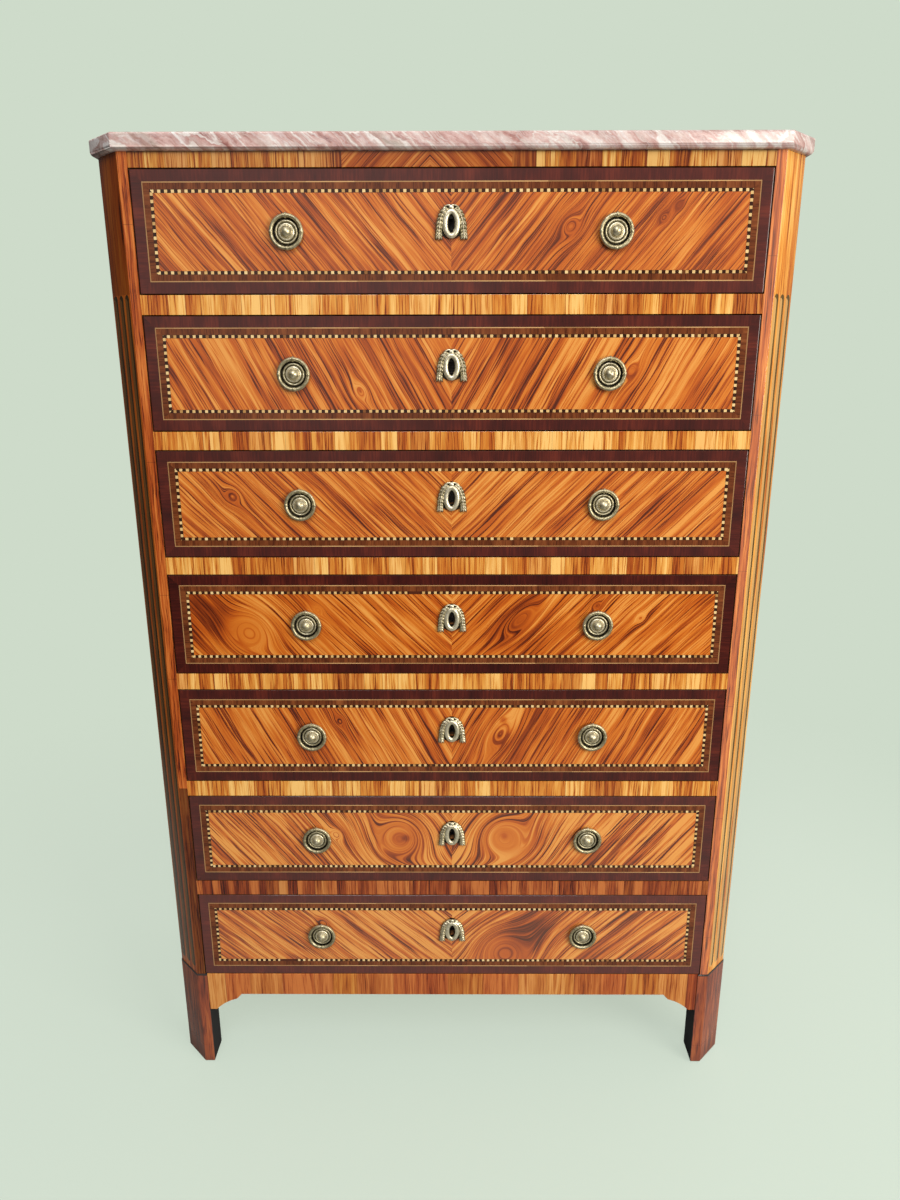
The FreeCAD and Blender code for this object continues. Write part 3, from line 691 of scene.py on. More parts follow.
def breccia():
    x, y, z = surface("rose_breccia")
    sway = noise(x / 60.0, y / 60.0, z / 60.0, 4.0, 0.6) - 0.5
    lean = x * 0.75 + z * 1.25 + y * 0.55 + sway * 50.0
    bed = y * 0.8 - x * 0.55 + sway * 40.0
    # painted light: x in the cloud turns the stone a little paler towards the right end
    cloud = noise(lean / 14.0, bed / 30.0, z / 30.0 + 2.0, 5.0, 0.65) + x * 0.00004
    paint = cloud.gradient(
        (0.24, "7a5250"), (0.36, "ad857e"), (0.47, "cba9a2"), (0.58, "dbc8c0"), (0.72, "e4dbd5")
    )
    greys = cloud.gradient((0.3, "8a7c72"), (0.5, "bcb1a6"), (0.7, "ded9d1"))
    white = cloud.gradient((0.3, "d2c6bd"), (0.7, "e9e4df"))
    healed = cloud.gradient((0.3, "90584e"), (0.7, "bf8f86"))
    broad = from_vein(lean / 30.0, bed / 60.0, 4.0, 4.0, 0.6)
    seams = from_vein(lean / 130.0 + 4.0, bed / 150.0, 24.0, 5.0, 0.6)
    thin = from_vein(lean / 9.0, bed / 20.0, 14.0, 3.0)
    paint = paint.under(noise(lean / 50.0, bed / 70.0, 9.0, 3.0).ramp(0.54, 0.66), greys)
    paint = paint.under(1.0 - broad.ramp(0.004, 0.03), white)
    paint = paint.under((1.0 - seams.ramp(0.03, 0.08)) * 0.55, healed)
    paint = paint.under(1.0 - seams.ramp(0.006, 0.02), white)
    paint = paint.under((1.0 - thin.ramp(0.0, 0.03)) * 0.5, cloud.gradient((0.0, "8a5a55"), (1.0, "ffffff")))
    specks = noise(x / 1.6, y / 1.6, z / 1.6)
    dulled = noise(x / 30.0, y / 30.0, z / 30.0, 3.0)
    # painted shade: x in the scale makes the whole slab darker towards its right end and lighter towards its
    # left
    return paint.scaled(specks * 0.3 + 0.80 - x * 0.00022).worn(dulled * 0.16 + 0.1, dulled, 0.0001)


marble_finish = breccia()
print("marble is", marble_finish.name)

# %% [markdown]
# ## Hidden wood and metal
# What nobody sees with the drawers shut is plain oak. The boards of the back stand upright, and each has a
# tone of its own. The drawer boxes are paler than the carcass, because less air and light reached them.
# The mounts are gilt brass that has gone green in its hollows and was rubbed bright on its heights, so the
# colour follows the height above the drawer front. Locks and screws are dull iron.

# %% Colour the oak, the brass and the iron
BACK_BOARDS = 5
NAIL_INSET = 11.0          # top or bottom end of a board to its nails
NAIL_HEAD = 2.6            # radius
NAIL_PLACE = 0.38          # middle of a board to its nails, as a share of its width
SIDE_BOARD = 12.5          # drawer side with its gap
KEYHOLE_SHADE = 5.6        # how far from the middle the plate is dark round its keyhole


def carcass_oak():
    x, y, z = surface("carcass_oak_boards")
    return oak(x, y + z, 21.0).worn(0.62, noise(x / 80.0, y / 5.0, z / 5.0, 3.0), 0.0004)


def back_oak():
    x, y, z = surface("back_board_oak")
    board = (back_high.x - back_low.x) / BACK_BOARDS
    place = (x - back_low.x) * (1.0 / board)
    luck = chance(place.whole(), 3.0)
    grain = noise(z / 260.0, x / 7.0, luck * 30.0, 4.0, 0.6)
    pores = noise(z / 20.0, x / 1.1, 5.0, 1.0)
    value = grain + (pores - 0.5) * 0.4 + (luck - 0.5) * 0.4
    paint = value.gradient((0.2, "4a301c"), (0.45, "75532f"), (0.7, "9c7a50"), (0.9, "b39468"))
    across = abs(place % 1.0 - 0.5)
    seam = across.ramp(0.486, 0.495)
    nail_x = (across - NAIL_PLACE) * board
    nail_z = abs(z - (back_low.z + back_high.z) / 2) - ((back_high.z - back_low.z) / 2 - NAIL_INSET)
    nail = (nail_x * nail_x + nail_z * nail_z).root()
    stain = 1.0 - nail.ramp(NAIL_HEAD, NAIL_HEAD * 4.0)
    paint = paint.scaled(1.0 - seam * 0.75 - stain * 0.35).under(nail < NAIL_HEAD, tone("2b2420"))
    return paint.worn(0.7, value - seam * 2.0, 0.0006)


def drawer_oak():
    x, y, z = surface("drawer_box_oak")
    sides = abs(x) > first_high.x - SIDE_BOARD
    along = x + sides * (y - x)
    across = z + y + sides * (x - y)
    pores = noise(along / 15.0, across / 0.9, 27.0, 1.0)
    value = noise(along / 160.0, across / 6.0, 25.0, 3.0, 0.6) + (pores - 0.5) * 0.45
    return value.gradient((0.25, "7a5530"), (0.5, "a07a4c"), (0.75, "bc9a6a")).worn(0.6, value, 0.0004)


def aged_brass(name, near_floor):
    """Gilt brass; rubbed is how bright its heights have been worn."""
    x, y, z = surface(name)
    height = front - y
    spots = noise(x / 3.5, y / 3.5, z / 3.5, 4.0, 0.65)
    relief = height.ramp(1.7, 4.2) * 0.62 - height.ramp(4.6, 9.0) * 0.12
    keyhole = (abs(x) < KEYHOLE_SHADE) * (height < 2.0)
    value = relief + (spots - 0.5) * 0.7 + near_floor - keyhole * 0.3
    paint = value.gradient((0.15, "14110c"), (0.38, "59533c"), (0.60, "a89e7b"), (0.82, "e8dfc3"))
    return paint.worn(0.54 - value.ramp(0.2, 0.9) * 0.22, spots, 0.00015, 0.8)


def filed_iron():
    x, y, z = surface("filed_iron")
    marks = noise(x / 9.0, y / 1.0, z / 0.5)
    rust = noise(x / 14.0, y / 14.0, z / 14.0, 4.0, 0.6)
    paint = (marks * 0.5 + rust * 0.5).gradient((0.3, "3a2f28"), (0.5, "5e5a56"), (0.7, "8c8a86"))
    return paint.worn(rust * 0.4 + 0.25, marks, 0.0001, 0.8)


oak_finish = carcass_oak()
back_finish = back_oak()
box_finish = drawer_oak()
brass_finish = aged_brass("aged_gilt_brass", 0.16)
# the rings and their eyes get the same brass with less rubbed brightness, so they are darker
ring_finish = aged_brass("darker_gilt_brass", 0.03)
iron_finish = filed_iron()
print("oak, brass and iron are ready")

# %% [markdown]
# ## Eased arrises
# No arris of real furniture is a perfect edge: plane, scraper and centuries of hands round it, and that
# narrow round catches the light. The members that show are copied from the frame, their loose triangles are
# merged into whole faces, and their long outer edges are bevelled. Their holes and joints stay as they are.

# %% Copy a frame piece and bevel its long edges
SAME = 0.00001             # points closer than this are one
CREASE = math.radians(30.0)
KEYHOLE_REACH = 0.01       # half the width of the middle strip that holds the keyhole
SHORTEST = 0.008           # shorter edges stay sharp


def select_only(piece):
    """Makes one piece the only selected and active one."""
    bpy.ops.object.select_all(action="DESELECT")
    piece.select_set(True)
    bpy.context.view_layer.objects.active = piece


@contextmanager
def editing(piece):
    """Edit mode on one piece, with all of it selected."""
    select_only(piece)
    bpy.ops.object.mode_set(mode="EDIT")
    bpy.ops.mesh.select_all(action="SELECT")
    yield
    bpy.ops.object.mode_set(mode="OBJECT")


def pick(piece, kind, test):
    """In edit mode, selects the verts, edges or faces that pass a test."""
    bpy.ops.mesh.select_mode(type={"verts": "VERT", "edges": "EDGE", "faces": "FACE"}[kind])
    bpy.ops.mesh.select_all(action="DESELECT")
    shape = bmesh.from_edit_mesh(piece.data)
    for part in getattr(shape, kind):
        if test(part):
            part.select_set(True)
    bmesh.update_edit_mesh(piece.data)


def smooth_by_angle(degrees):
    """Shades the active piece smooth on its rounds and sharp on its creases."""
    bpy.ops.object.shade_smooth_by_angle(angle=math.radians(degrees))


def painted(piece, finish):
    """Gives a piece its only material."""
    piece.data.materials.clear()
    piece.data.materials.append(finish)


def dressed(piece, body, slot_name, finish, *nodes):
    """Gives a finished piece its material and body, and hides the nodes it stands for; slot_name is not used.
    """
    painted(piece, finish)
    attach(piece, body)
    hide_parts(*nodes)


def copied(piece, name, change):
    """A copy with its own mesh, moved or turned by a matrix."""
    copy = bpy.data.objects.new(name, piece.data.copy())
    bpy.context.scene.collection.objects.link(copy)
    copy.data.transform(change)
    return copy


def placed_copy(piece, name, x, z):
    """A copy moved sideways and up."""
    return copied(piece, name, Matrix.Translation((x, 0.0, z)))


def thrown_away(*patterns):
    """Removes patterns and cutters that have done their work."""
    for pattern in patterns:
        bpy.data.objects.remove(pattern)


def merge_triangles():
    """In edit mode, joins the triangles of a frame piece into whole faces."""
    bpy.ops.mesh.remove_doubles(threshold=SAME)
    bpy.ops.mesh.dissolve_limited(angle_limit=math.radians(0.5))


def frame_copy(name, node):
    """A copy of a frame node in its place, to be worked on."""
    return placed_copy(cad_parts[node], name, 0.0, 0.0)


def flattened(piece):
    """Shades every face that lies square to an axis flat, so no round beside it bends its light."""
    with editing(piece):
        pick(piece, "faces", lambda face: max(abs(part) for part in face.normal) > 0.985)
        bpy.ops.mesh.faces_shade_flat()
    return piece


def softened(name, node, width):
    """A copy of a frame node with its long outer edges bevelled by width, but not those of its keyhole."""
    piece = frame_copy(name, node)

    def outer(edge):
        if len(edge.link_faces) != 2 or not edge.is_convex:
            return False
        if max(abs(vert.co.x) for vert in edge.verts) < KEYHOLE_REACH:
            return False
        return edge.calc_face_angle() > CREASE and edge.calc_length() > SHORTEST

    with editing(piece):
        merge_triangles()
        pick(piece, "edges", outer)
        bpy.ops.mesh.bevel(offset=width, segments=2, profile=0.5, clamp_overlap=True)
    smooth_by_angle(20.0)
    return flattened(piece)


print("arrises steeper than %.0f degrees are eased" % math.degrees(CREASE))

# %% [markdown]
# The members of the case come in pairs or alone. The seven drawers are alike, so the front and the box of
# one are eased and then copied, each copy with its own veneer.

# %% Ease the woodwork
WOODWORK = (            # node, sides, width of its eased edges, finish
    ("frieze_rail", ("",), 0.0003, frieze_finish),
    ("drawer_rails", ("",), 0.0004, rail_finish),
    ("front_apron", ("",), 0.0008, apron_finish),
    ("front_post", ("_left", "_right"), 0.0005, post_finish),
    ("front_foot", ("_left", "_right"), 0.0008, foot_finish),
    ("rear_post", ("_left", "_right"), 0.0006, rear_finish),
    ("side_panel", ("_left", "_right"), 0.0003, side_finish),
)
for member, sides, width, finish in WOODWORK:
    for node in [member + side for side in sides]:
        dressed(softened(node + "_veneered", node, width), "carcass", "show_veneer", finish, node)

PATTERN = 3             # the drawer that all others are copied from
front_pattern = softened("front_pattern", "drawer_%d_front" % PATTERN, 0.0008)
box_pattern = softened("box_pattern", "drawer_%d_box" % PATTERN, 0.0006)
for number in NUMBERS:
    name = "drawer_%d" % number
    rise = (middle(number) - middle(PATTERN)) * MM
    face = placed_copy(front_pattern, name + "_face", 0.0, rise)
    dressed(face, name, "show_veneer", faces[number], name + "_front")
    box = placed_copy(box_pattern, name + "_oak_box", 0.0, rise)
    dressed(box, name, "carcass_oak", box_finish, name + "_box")
thrown_away(front_pattern, box_pattern)
print("eased:", len(WOODWORK), "kinds of member,", DRAWERS, "fronts and boxes")

# %% [markdown]
# ## Marble slab and plain boards
# The slab's rounded edges are already in the frame, as narrow strips. Merged and shaded smooth, they read
# as one polished round. The plain boards inside keep the frame's shape and only get their material.

# %% Dress the slab, the boards and the bolts
slab = frame_copy("marble_slab", "marble_top")
with editing(slab):
    merge_triangles()
smooth_by_angle(30.0)
dressed(slab, "carcass", "marble", marble_finish, "marble_top")

PLAIN = {
    "top_board": oak_finish, "bottom_board": oak_finish, "back_boards": back_finish,
    "drawer_runners": oak_finish, "drawer_guides": oak_finish, "drawer_stops": oak_finish,
}
PLAIN.update({"drawer_%d_bolt" % number: iron_finish for number in NUMBERS})
for node, finish in PLAIN.items():
    painted(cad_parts[node], finish)
print("plain nodes dressed:", len(PLAIN))

# %% [markdown]
# ## Turned rosette
# The pull is a turned boss: a flat backplate, a bold outer bead, a groove, a second bead and a domed button.
# A lathe profile could be spun, but insetting the face of a cylinder step by step does the same and keeps
# even rings. Small pearls stand round the rim: one is made, and the others are its copies round the middle.
# A short tube at the top is the eye that the ring hangs in.

# %% Turn the rosette
PLATE_RADIUS = 0.019
PLATE_THICK = 0.0011
ROSETTE = (             # radius and height above the drawer front in mm, from the rim of the plate inwards
    (18.6, 1.5), (16.3, 1.6), (14.9, 1.7), (14.6, 2.5), (14.2, 3.2), (13.6, 3.7), (13.0, 3.8),
    (12.4, 3.6), (11.9, 3.1), (11.6, 2.5), (10.9, 2.5), (10.5, 3.4), (10.0, 4.3), (9.3, 4.7),
    (8.6, 4.6), (8.2, 4.1), (7.9, 4.1), (7.6, 5.0), (7.1, 6.3), (6.4, 7.6), (5.5, 8.8), (4.5, 9.7),
    (3.4, 10.4), (2.3, 10.9), (1.2, 11.3), (0.4, 11.5),
)
STEM_RADIUS = 0.0025
STEM_LENGTH = 0.024
PEARL_CIRCLE = 0.01585
PEARL = 0.0006
PEARL_LIFT = 0.0017
PEARLS = 52
RING_RADIUS = 0.0193
RING_THICK = 0.0026        # radius of the ring's section
RING_FORWARD = 0.0045      # drawer front to the middle of the ring
PULLS = (("left", -0.207), ("right", 0.207))


def applied():
    """Writes the active object's place, turn and scale into its mesh."""
    bpy.ops.object.transform_apply(location=True, rotation=True, scale=True)
    return bpy.context.object


def rod_forward(radius, start, end, z=0.0, sides=24):
    """A cylinder along Y between two depths, both measured forwards from the drawer fronts."""
    bpy.ops.mesh.primitive_cylinder_add(
        vertices=sides, radius=radius, depth=end - start, location=(0.0, front * MM - (start + end) / 2, z),
        rotation=(math.pi / 2, 0.0, 0.0),
    )
    return applied()


def stepped(piece, radius, height, profile):
    """Insets the front face of a cylinder along a profile of radius and height in millimetres."""
    with editing(piece):
        pick(piece, "faces", lambda face: face.normal.y < -0.9)
        for next_radius, next_height in profile:
            bpy.ops.mesh.inset(thickness=(radius - next_radius) * MM, depth=(next_height - height) * MM)
            radius, height = next_radius, next_height
        bpy.ops.mesh.merge(type="CENTER")


def joined(name, pieces):
    """Several objects as one, smooth on its rounds and sharp on its creases."""
    select_only(pieces[0])
    for piece in pieces:
        piece.select_set(True)
    bpy.ops.object.join()
    bpy.context.object.name = name
    smooth_by_angle(40.0)
    return bpy.context.object


def sealed():
    """In edit mode, joins doubled corners and turns every face outwards."""
    bpy.ops.mesh.select_all(action="SELECT")
    bpy.ops.mesh.remove_doubles(threshold=SAME)
    bpy.ops.mesh.normals_make_consistent(inside=False)


def make_pearls():
    """A ring of small beads round the Y axis."""
    place = (PEARL_CIRCLE, front * MM - PEARL_LIFT, 0.0)
    bpy.ops.mesh.primitive_ico_sphere_add(subdivisions=1, radius=PEARL, location=place)
    ring = applied()
    with editing(ring):
        bpy.ops.transform.resize(value=(0.85, 0.8, 1.0), center_override=place)
        bpy.ops.mesh.spin(
            steps=PEARLS, dupli=True, angle=math.tau, center=(0.0, front * MM, 0.0), axis=(0.0, 1.0, 0.0)
        )
        sealed()
    return ring


def make_rosette():
    """One rosette on the Y axis, with its stem."""
    boss = rod_forward(PLATE_RADIUS, 0.0, PLATE_THICK, sides=72)
    stepped(boss, PLATE_RADIUS / MM, PLATE_THICK / MM, ROSETTE)
    return joined("rosette", [boss, rod_forward(STEM_RADIUS, -STEM_LENGTH, 0.0), make_pearls()])


rosette = make_rosette()
print("rosette:", len(rosette.data.polygons), "faces")

# %% [markdown]
# The eye of a real pull is bored through a cast lug. Here the two ends of a short cylinder are inset and
# then bridged, which bores it, and its outer rims are bevelled.

# %% Bore the eye


def make_eye():
    """The eye at the top of a rosette that the ring hangs in: a short tube along X."""
    inner, outer, half = RING_THICK + 0.0003, RING_THICK + 0.0010, 0.0012
    centre = Vector((0.0, front * MM - RING_FORWARD, RING_RADIUS))
    bpy.ops.mesh.primitive_cylinder_add(
        vertices=24, radius=outer, depth=2 * half, location=centre, rotation=(0.0, math.pi / 2, 0.0)
    )
    eye = applied()

    def outer_rim(edge):
        one, other = [vert.co - centre for vert in edge.verts]
        at_end = abs(one.x - other.x) < SAME and abs(abs(one.x) - half) < SAME
        return at_end and min(math.hypot(corner.y, corner.z) for corner in (one, other)) > outer - SAME

    with editing(eye):
        pick(eye, "faces", lambda face: abs(face.normal.x) > 0.9)
        bpy.ops.mesh.inset(thickness=outer - inner, use_individual=True)
        bpy.ops.mesh.bridge_edge_loops()
        pick(eye, "edges", outer_rim)
        bpy.ops.mesh.bevel(offset=0.0004, segments=2, profile=0.5)
    smooth_by_angle(30.0)
    return eye


eye = make_eye()
print("eye:", len(eye.data.polygons), "faces")

# %% [markdown]
# ## Drop ring
# The ring is bound like a laurel wreath: fine ribs run round it, and a ribbon crosses it at both sides and
# at the bottom. A torus gives the ring. Every second of its sections is drawn in a little, which makes the
# ribs, and the sections under the ribbons are swollen.

# %% Model the ring and hang the pulls
RIBS = 72
RIBBONS = (0.0, -90.0, 180.0)      # degrees, seen from the front


def make_ring():
    bpy.ops.mesh.primitive_torus_add(
        major_segments=2 * RIBS, minor_segments=14, major_radius=RING_RADIUS, minor_radius=RING_THICK,
        location=(0.0, front * MM - RING_FORWARD, 0.0), rotation=(math.pi / 2, 0.0, 0.0),
    )
    ring = applied()

    def angle(vert):
        return math.degrees(math.atan2(vert.co.z, vert.co.x))

    def near(vert, places, reach):
        return any(abs((angle(vert) - place + 180.0) % 360.0 - 180.0) < reach for place in places)

    def ribbed(vert):
        section = round((angle(vert) % 360.0) / (180.0 / RIBS))
        return section % 2 == 1 and not near(vert, (90.0,), 9.0) and not near(vert, RIBBONS, 6.0)

    with editing(ring):
        pick(ring, "verts", ribbed)
        bpy.ops.transform.shrink_fatten(value=-0.0003)
        pick(ring, "verts", lambda vert: near(vert, RIBBONS, 4.5))
        bpy.ops.transform.shrink_fatten(value=0.00022)
    smooth_by_angle(50.0)
    return ring


ring = make_ring()
for number in NUMBERS:
    body = "drawer_%d" % number
    for side, x in PULLS:
        z = middle(number) * MM
        boss = placed_copy(rosette, "%s_rosette_%s" % (body, side), x, z)
        dressed(boss, body, "gilt_brass", brass_finish, body + "_fittings")
        loop = placed_copy(eye, "%s_eye_%s" % (body, side), x, z)
        dressed(loop, body, "gilt_brass", ring_finish, body + "_fittings")
        ring_body = "%s_ring_%s" % (body, side)
        hoop = placed_copy(ring, ring_body + "_bound", x, z)
        dressed(hoop, ring_body, "gilt_brass", ring_finish, ring_body)
print("ring:", len(ring.data.polygons), "faces; pulls hung:", 2 * DRAWERS)
thrown_away(rosette, eye, ring)

# %% [markdown]
# ## Escutcheon
# A keyhole plate hides the hole that the locksmith cut. Its oval rim stands between two sprays of leaves
# under a tied bow. One leaf is shaped from a low sphere with a raised midrib, and copies of it are set
# along each spray, overlapping like tiles.

# %% Lay the sprays of leaves
KEY_RISE = 11.0
key_z = first_middle + KEY_RISE        # middle of the top drawer's keyhole; heights below are from there
SPRAY = (                # path of the right-hand spray downwards, in millimetres
    (6.2, 14.0), (9.4, 11.3), (11.9, 7.7), (13.5, 3.5), (14.4, -1.0), (15.0, -5.6), (15.5, -10.2),
    (15.8, -14.0), (15.9, -17.4),
)
STATION = ((-2.5, 26.0, 2.3), (2.5, -26.0, 2.4), (0.0, 0.0, 3.1))     # leaves: place across, turn, height


def on_plate(x, forwards, z):
    """A move from the origin to a place on the top drawer's escutcheon, in millimetres."""
    return Matrix.Translation((x * MM, (front - forwards) * MM, (key_z + z) * MM))


def make_leaf():
    """A pointed leaf 5 mm long, lying in the XZ plane with its tip towards -Z and its rib towards -Y."""
    bpy.ops.mesh.primitive_uv_sphere_add(segments=8, ring_count=6, radius=0.0025)
    leaf = bpy.context.object
    with editing(leaf):
        bpy.ops.transform.resize(value=(0.62, 0.42, 1.0))
        pick(leaf, "verts", lambda vert: vert.co.z < -0.0022)
        bpy.ops.transform.translate(value=(0.0, 0.0003, -0.0006))
        pick(leaf, "verts", lambda vert: abs(vert.co.x) < 0.0001 and vert.co.y < -0.0001)
        bpy.ops.transform.translate(value=(0.0, -0.0004, 0.0))
    return leaf


def make_spray(leaf, side):
    """Leaves along one spray: a middle one and one to each side at every station."""
    leaves = []
    for index, (x, z) in enumerate(SPRAY):
        ahead = SPRAY[min(index + 1, len(SPRAY) - 1)]
        behind = SPRAY[max(index - 1, 0)]
        run = math.atan2(ahead[0] - behind[0], behind[1] - ahead[1])
        size = 1.25 + 0.12 * math.sin(index * 1.9)
        for offset, spread, height in STATION:
            place = on_plate(side * (x + math.cos(run) * offset), height, z + math.sin(run) * offset)
            turned = Matrix.Rotation(side * (math.radians(spread) - run), 4, "Y")
            leaves.append(copied(leaf, "leaf", place @ turned @ Matrix.Scale(size, 4)))
    return leaves


leaf = make_leaf()
sprays = make_spray(leaf, -1) + make_spray(leaf, 1)
thrown_away(leaf)
print("leaves:", len(sprays))

# %% [markdown]
# The bow is two flattened rings with a pillow for its knot. The oval rim is a curve with a round section,
# which keeps its breadth all the way round, as a bent rod does.

# %% Tie the bow and bend the rim
RIM_WIDE = 7.9           # half width and half height of the oval rim along the middle of its bead
RIM_HIGH = 14.2
RIM_BEAD = 2.7
RIM_Z = -1.8             # middle of the oval
RIM_FORWARD = 2.6
FLATNESS = 0.72          # depth of the bow and the rim, as a share of their section
BOW = (5.2, 2.7, 16.4)   # middle of a loop: sideways, forwards, up
BOW_DROOP = 24.0         # degrees
KNOT_Z = 16.8


def make_bow(side):
    """One loop of the bow: a flattened torus that droops outwards."""
    bpy.ops.mesh.primitive_torus_add(
        major_segments=28, minor_segments=8, major_radius=0.0036, minor_radius=0.0013,
        rotation=(math.pi / 2, 0.0, 0.0),
    )
    bpy.context.object.scale = (1.25, FLATNESS, 1.0)
    loop = applied()
    across, forwards, z = BOW
    droop = Matrix.Rotation(math.radians(side * BOW_DROOP), 4, "Y")
    loop.data.transform(on_plate(side * across, forwards, z) @ droop)
    return loop


def make_knot():
    """The knot of the bow: a small pillow."""
    knot = rod_forward(0.0034, 0.0016, 0.0032, (key_z + KNOT_Z) * MM, 16)
    stepped(knot, 3.4, 3.2, ((2.9, 4.0), (2.1, 4.5), (1.2, 4.7)))
    return knot


def make_rim():
    """The broad oval bead round the keyhole: an ellipse drawn as a curve with a round section."""
    bpy.ops.curve.primitive_bezier_circle_add(radius=RIM_WIDE * MM, rotation=(math.pi / 2, 0.0, 0.0))
    path = bpy.context.object
    path.data.dimensions = "3D"
    bpy.ops.object.transform_apply(rotation=True)
    path.scale = (1.0, 1.0, RIM_HIGH / RIM_WIDE)
    bpy.ops.object.transform_apply(scale=True)
    path.data.resolution_u = 16
    path.data.bevel_depth = RIM_BEAD * MM
    path.data.bevel_resolution = 4
    bpy.ops.object.convert(target="MESH")
    rim = bpy.context.object
    with editing(rim):
        sealed()
        bpy.ops.transform.resize(value=(1.0, FLATNESS, 1.0), center_override=(0.0, 0.0, 0.0))
    rim.data.transform(on_plate(0.0, RIM_FORWARD, RIM_Z))
    return rim


relief = sprays + [make_bow(-1), make_bow(1), make_knot(), make_rim()]
print("relief:", len(relief), "pieces")

# %% [markdown]
# The plate behind the relief is a thin disc, drawn out a little in height, with a round crest. A rod and a
# block cut the keyhole out of it, as drill and file do.

# %% Cut the plate
CREST_Z = 12.4
CREST_RADIUS = 0.0085
CREST_THICK = 0.0017
OVAL_Z = -1.6
OVAL_RADIUS = 0.0168
OVAL_THICK = 0.0015
OVAL_STRETCH = 1.06
EYE_Z = 5.5              # round end of the keyhole
EYE_RADIUS = 0.004
SLOT_Z = -2.0            # straight part of the keyhole
SLOT_SIZE = (0.0056, 0.006, 0.015)


def make_plate():
    """The flat plate behind the relief, with the keyhole cut through it, and its round crest."""
    centre = (0.0, front * MM, (key_z + OVAL_Z) * MM)
    plate = rod_forward(OVAL_RADIUS, 0.0, OVAL_THICK, centre[2], 64)
    with editing(plate):
        bpy.ops.transform.resize(value=(1.0, 1.0, OVAL_STRETCH), center_override=centre)
    round_end = rod_forward(EYE_RADIUS, -0.001, 0.003, (key_z + EYE_Z) * MM, 32)
    bpy.ops.mesh.primitive_cube_add(size=1.0, location=(0.0, front * MM, (key_z + SLOT_Z) * MM))
    bpy.context.object.scale = SLOT_SIZE
    for cutter in (round_end, applied()):
        select_only(plate)
        hole = plate.modifiers.new("keyhole", "BOOLEAN")
        hole.object = cutter
        hole.operation = "DIFFERENCE"
        bpy.ops.object.modifier_apply(modifier="keyhole")
        thrown_away(cutter)
    crest = rod_forward(CREST_RADIUS, 0.0, CREST_THICK, (key_z + CREST_Z) * MM, 48)
    return joined("plate", [plate, crest])


escutcheon = joined("escutcheon", [make_plate()] + relief)
print("escutcheon:", len(escutcheon.data.polygons), "faces")

# %% [markdown]
# Locks, screws and nuts are the frame's own. They share a node with the brass in front of them, so a copy
# of the node keeps only the loose parts that lie behind the drawer front's face.

# %% Hang escutcheons and locks


def parts_behind(name, node, plane):
    """A merged copy of a node that keeps only the loose parts that lie wholly behind a plane."""
    piece = frame_copy(name, node)
    with editing(piece):
        merge_triangles()
        bpy.ops.mesh.select_mode(type="VERT")
        shape = bmesh.from_edit_mesh(piece.data)
        unseen = set(shape.verts)
        while unseen:
            part, reached = [], [unseen.pop()]
            while reached:
                vert = reached.pop()
                part.append(vert)
                beside = {edge.other_vert(vert) for edge in vert.link_edges} & unseen
                unseen -= beside
                reached += beside
            ahead = min(vert.co.y for vert in part) <= plane
            for vert in part:
                vert.select = ahead
        shape.select_flush(True)
        bmesh.update_edit_mesh(piece.data)
        bpy.ops.mesh.delete(type="VERT")
    smooth_by_angle(30.0)
    return flattened(piece)


lockwork = parts_behind("lockwork", "drawer_1_fittings", (front + 1.0) * MM)
for number in NUMBERS:
    body = "drawer_%d" % number
    fall = -(number - 1) * pitch * MM
    plate = placed_copy(escutcheon, body + "_escutcheon", 0.0, fall)
    dressed(plate, body, "gilt_brass", brass_finish, body + "_fittings")
    lock = placed_copy(lockwork, body + "_lock", 0.0, fall)
    dressed(lock, body, "lock_iron", iron_finish, body + "_fittings")
print("locks:", DRAWERS, "of", len(lockwork.data.polygons), "faces")
thrown_away(escutcheon, lockwork)

# %% [markdown]
# ## Floor and light
# A pale floor and pale surroundings keep the colours of the wood true. The floor is a thin sheet that turns
# clear further out, so no horizon shows behind the chest. One large soft light from the right models the
# corners, another high in front fills their shade, and the surroundings do the rest. What the camera sees
# behind the chest is lighter than what the polish reflects, so dark veneers stay dark.

# %% Build the studio
BACKDROP = "cedbca"
ROOM = 0.20                        # strength of the light from the walls
CEILING = 1.2
LEFT_SHARE = 0.2                   # how much of it comes from the left
WINDOW = Vector((-0.17, -1.0, 0.11)).normalized()      # direction of a soft window behind the camera
GLOW = 0.5
FLOOR_CARD = "d8e6dd"
FLOOR_VEIL = 0.26                  # how solid the sheet is, so that its shadows stay soft and pale
FLOOR_CLEAR = (900.0, 1700.0)      # distance from the middle where the floor starts to fade and is gone
AIM = Vector((0.0, 0.0, 0.7))      # what both lamps point at


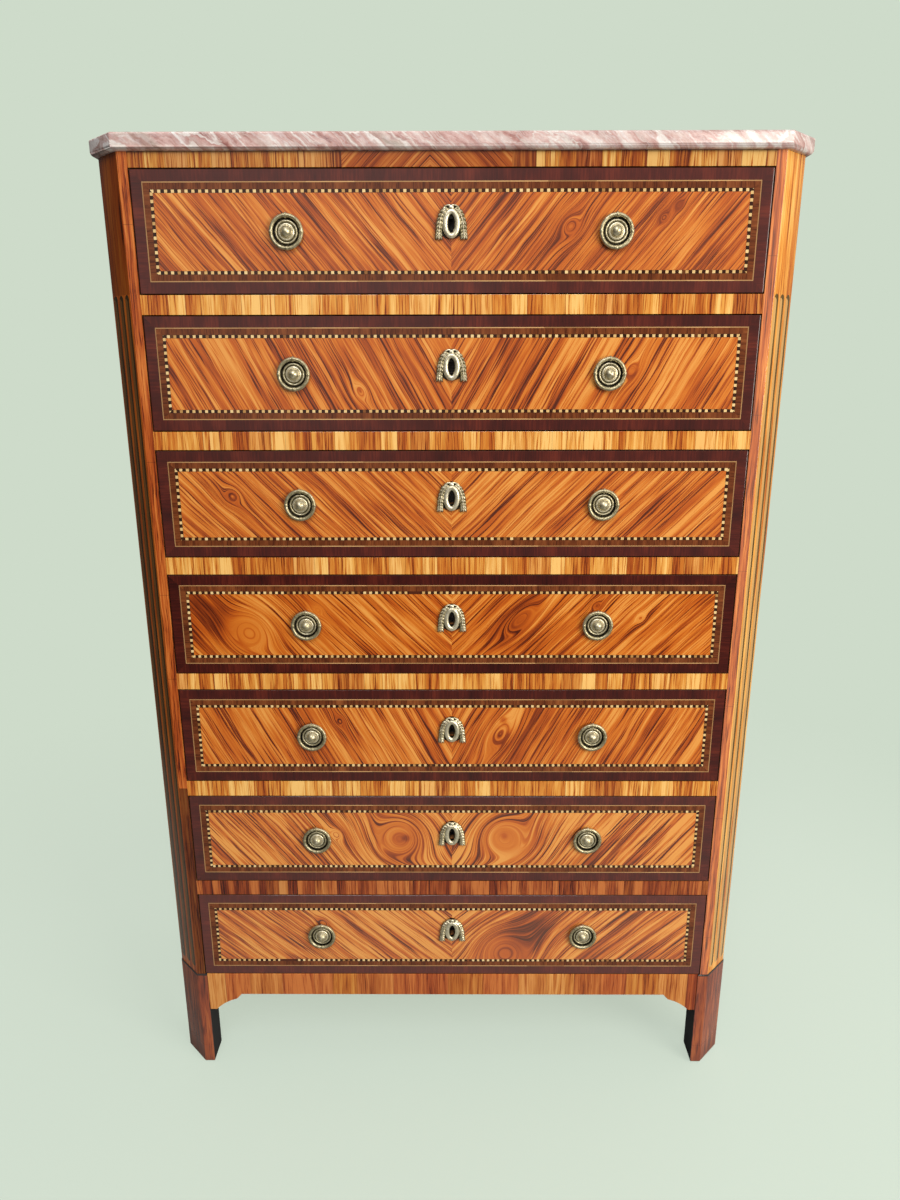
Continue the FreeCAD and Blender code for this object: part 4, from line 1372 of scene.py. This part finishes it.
def studio_floor():
    bpy.ops.mesh.primitive_circle_add(vertices=128, radius=2.4, fill_type="NGON")
    sheet = bpy.context.object
    sheet.name = "studio_floor"
    x, y, z = surface("pale_floor")
    far = (x * x + y * y).root().ramp(*FLOOR_CLEAR)
    veil = (1.0 - far) * FLOOR_VEIL
    x.tree.fill("Principled BSDF", Base_Color=tone(FLOOR_CARD), Roughness=0.85, Alpha=veil)
    sheet.data.materials.append(x.tree.owner)


def soft_light(name, place, size, power, colour):
    bpy.ops.object.light_add(type="AREA", location=place)
    lamp = bpy.context.object
    lamp.name = name
    lamp.data.size = size
    lamp.data.energy = power
    lamp.data.color = tone(colour)[:3]
    lamp.rotation_euler = (AIM - Vector(place)).to_track_quat("-Z", "Y").to_euler()


def surroundings():
    """The camera sees a pale backdrop; the chest is lit by a bright ceiling over a dim room."""
    world = bpy.data.worlds.new("studio")
    bpy.context.scene.world = world
    sky = Tree(world)
    direction = sky.node("ShaderNodeTexCoord").output("Generated")
    rightwards = sky.node("ShaderNodeSeparateXYZ", None, direction)
    upwards = rightwards.output("Z")
    facing = sky.node("ShaderNodeVectorMath", {"operation": "DOT_PRODUCT"}, direction, WINDOW)
    smooth = {"interpolation_type": "SMOOTHERSTEP"}
    glow = sky.node("ShaderNodeMapRange", smooth, facing, 0.955, 1.0, 0.0, GLOW)
    walls = upwards.ramp(0.1, 0.75, ROOM, CEILING) * rightwards.ramp(-0.9, 0.3, LEFT_SHARE, 1.0)
    room = sky.node("ShaderNodeBackground", None, tone("f4f1ea"), walls + glow)
    sky.fill("Background", Color=tone(BACKDROP))
    seen = Flow(sky, sky.nodes["Background"].outputs["Background"])
    camera_ray = sky.node("ShaderNodeLightPath")
    sky.fill("World Output", Surface=sky.node("ShaderNodeMixShader", None, camera_ray, room, seen))


studio_floor()
surroundings()
soft_light("key", (2.5, -2.45, 1.4), 1.8, 106.0, "fff8ee")
soft_light("fill", (-0.2, -3.4, 4.0), 2.1, 106.0, "f8f7ff")
bpy.context.scene.view_settings.view_transform = "Standard"
print("studio ready")
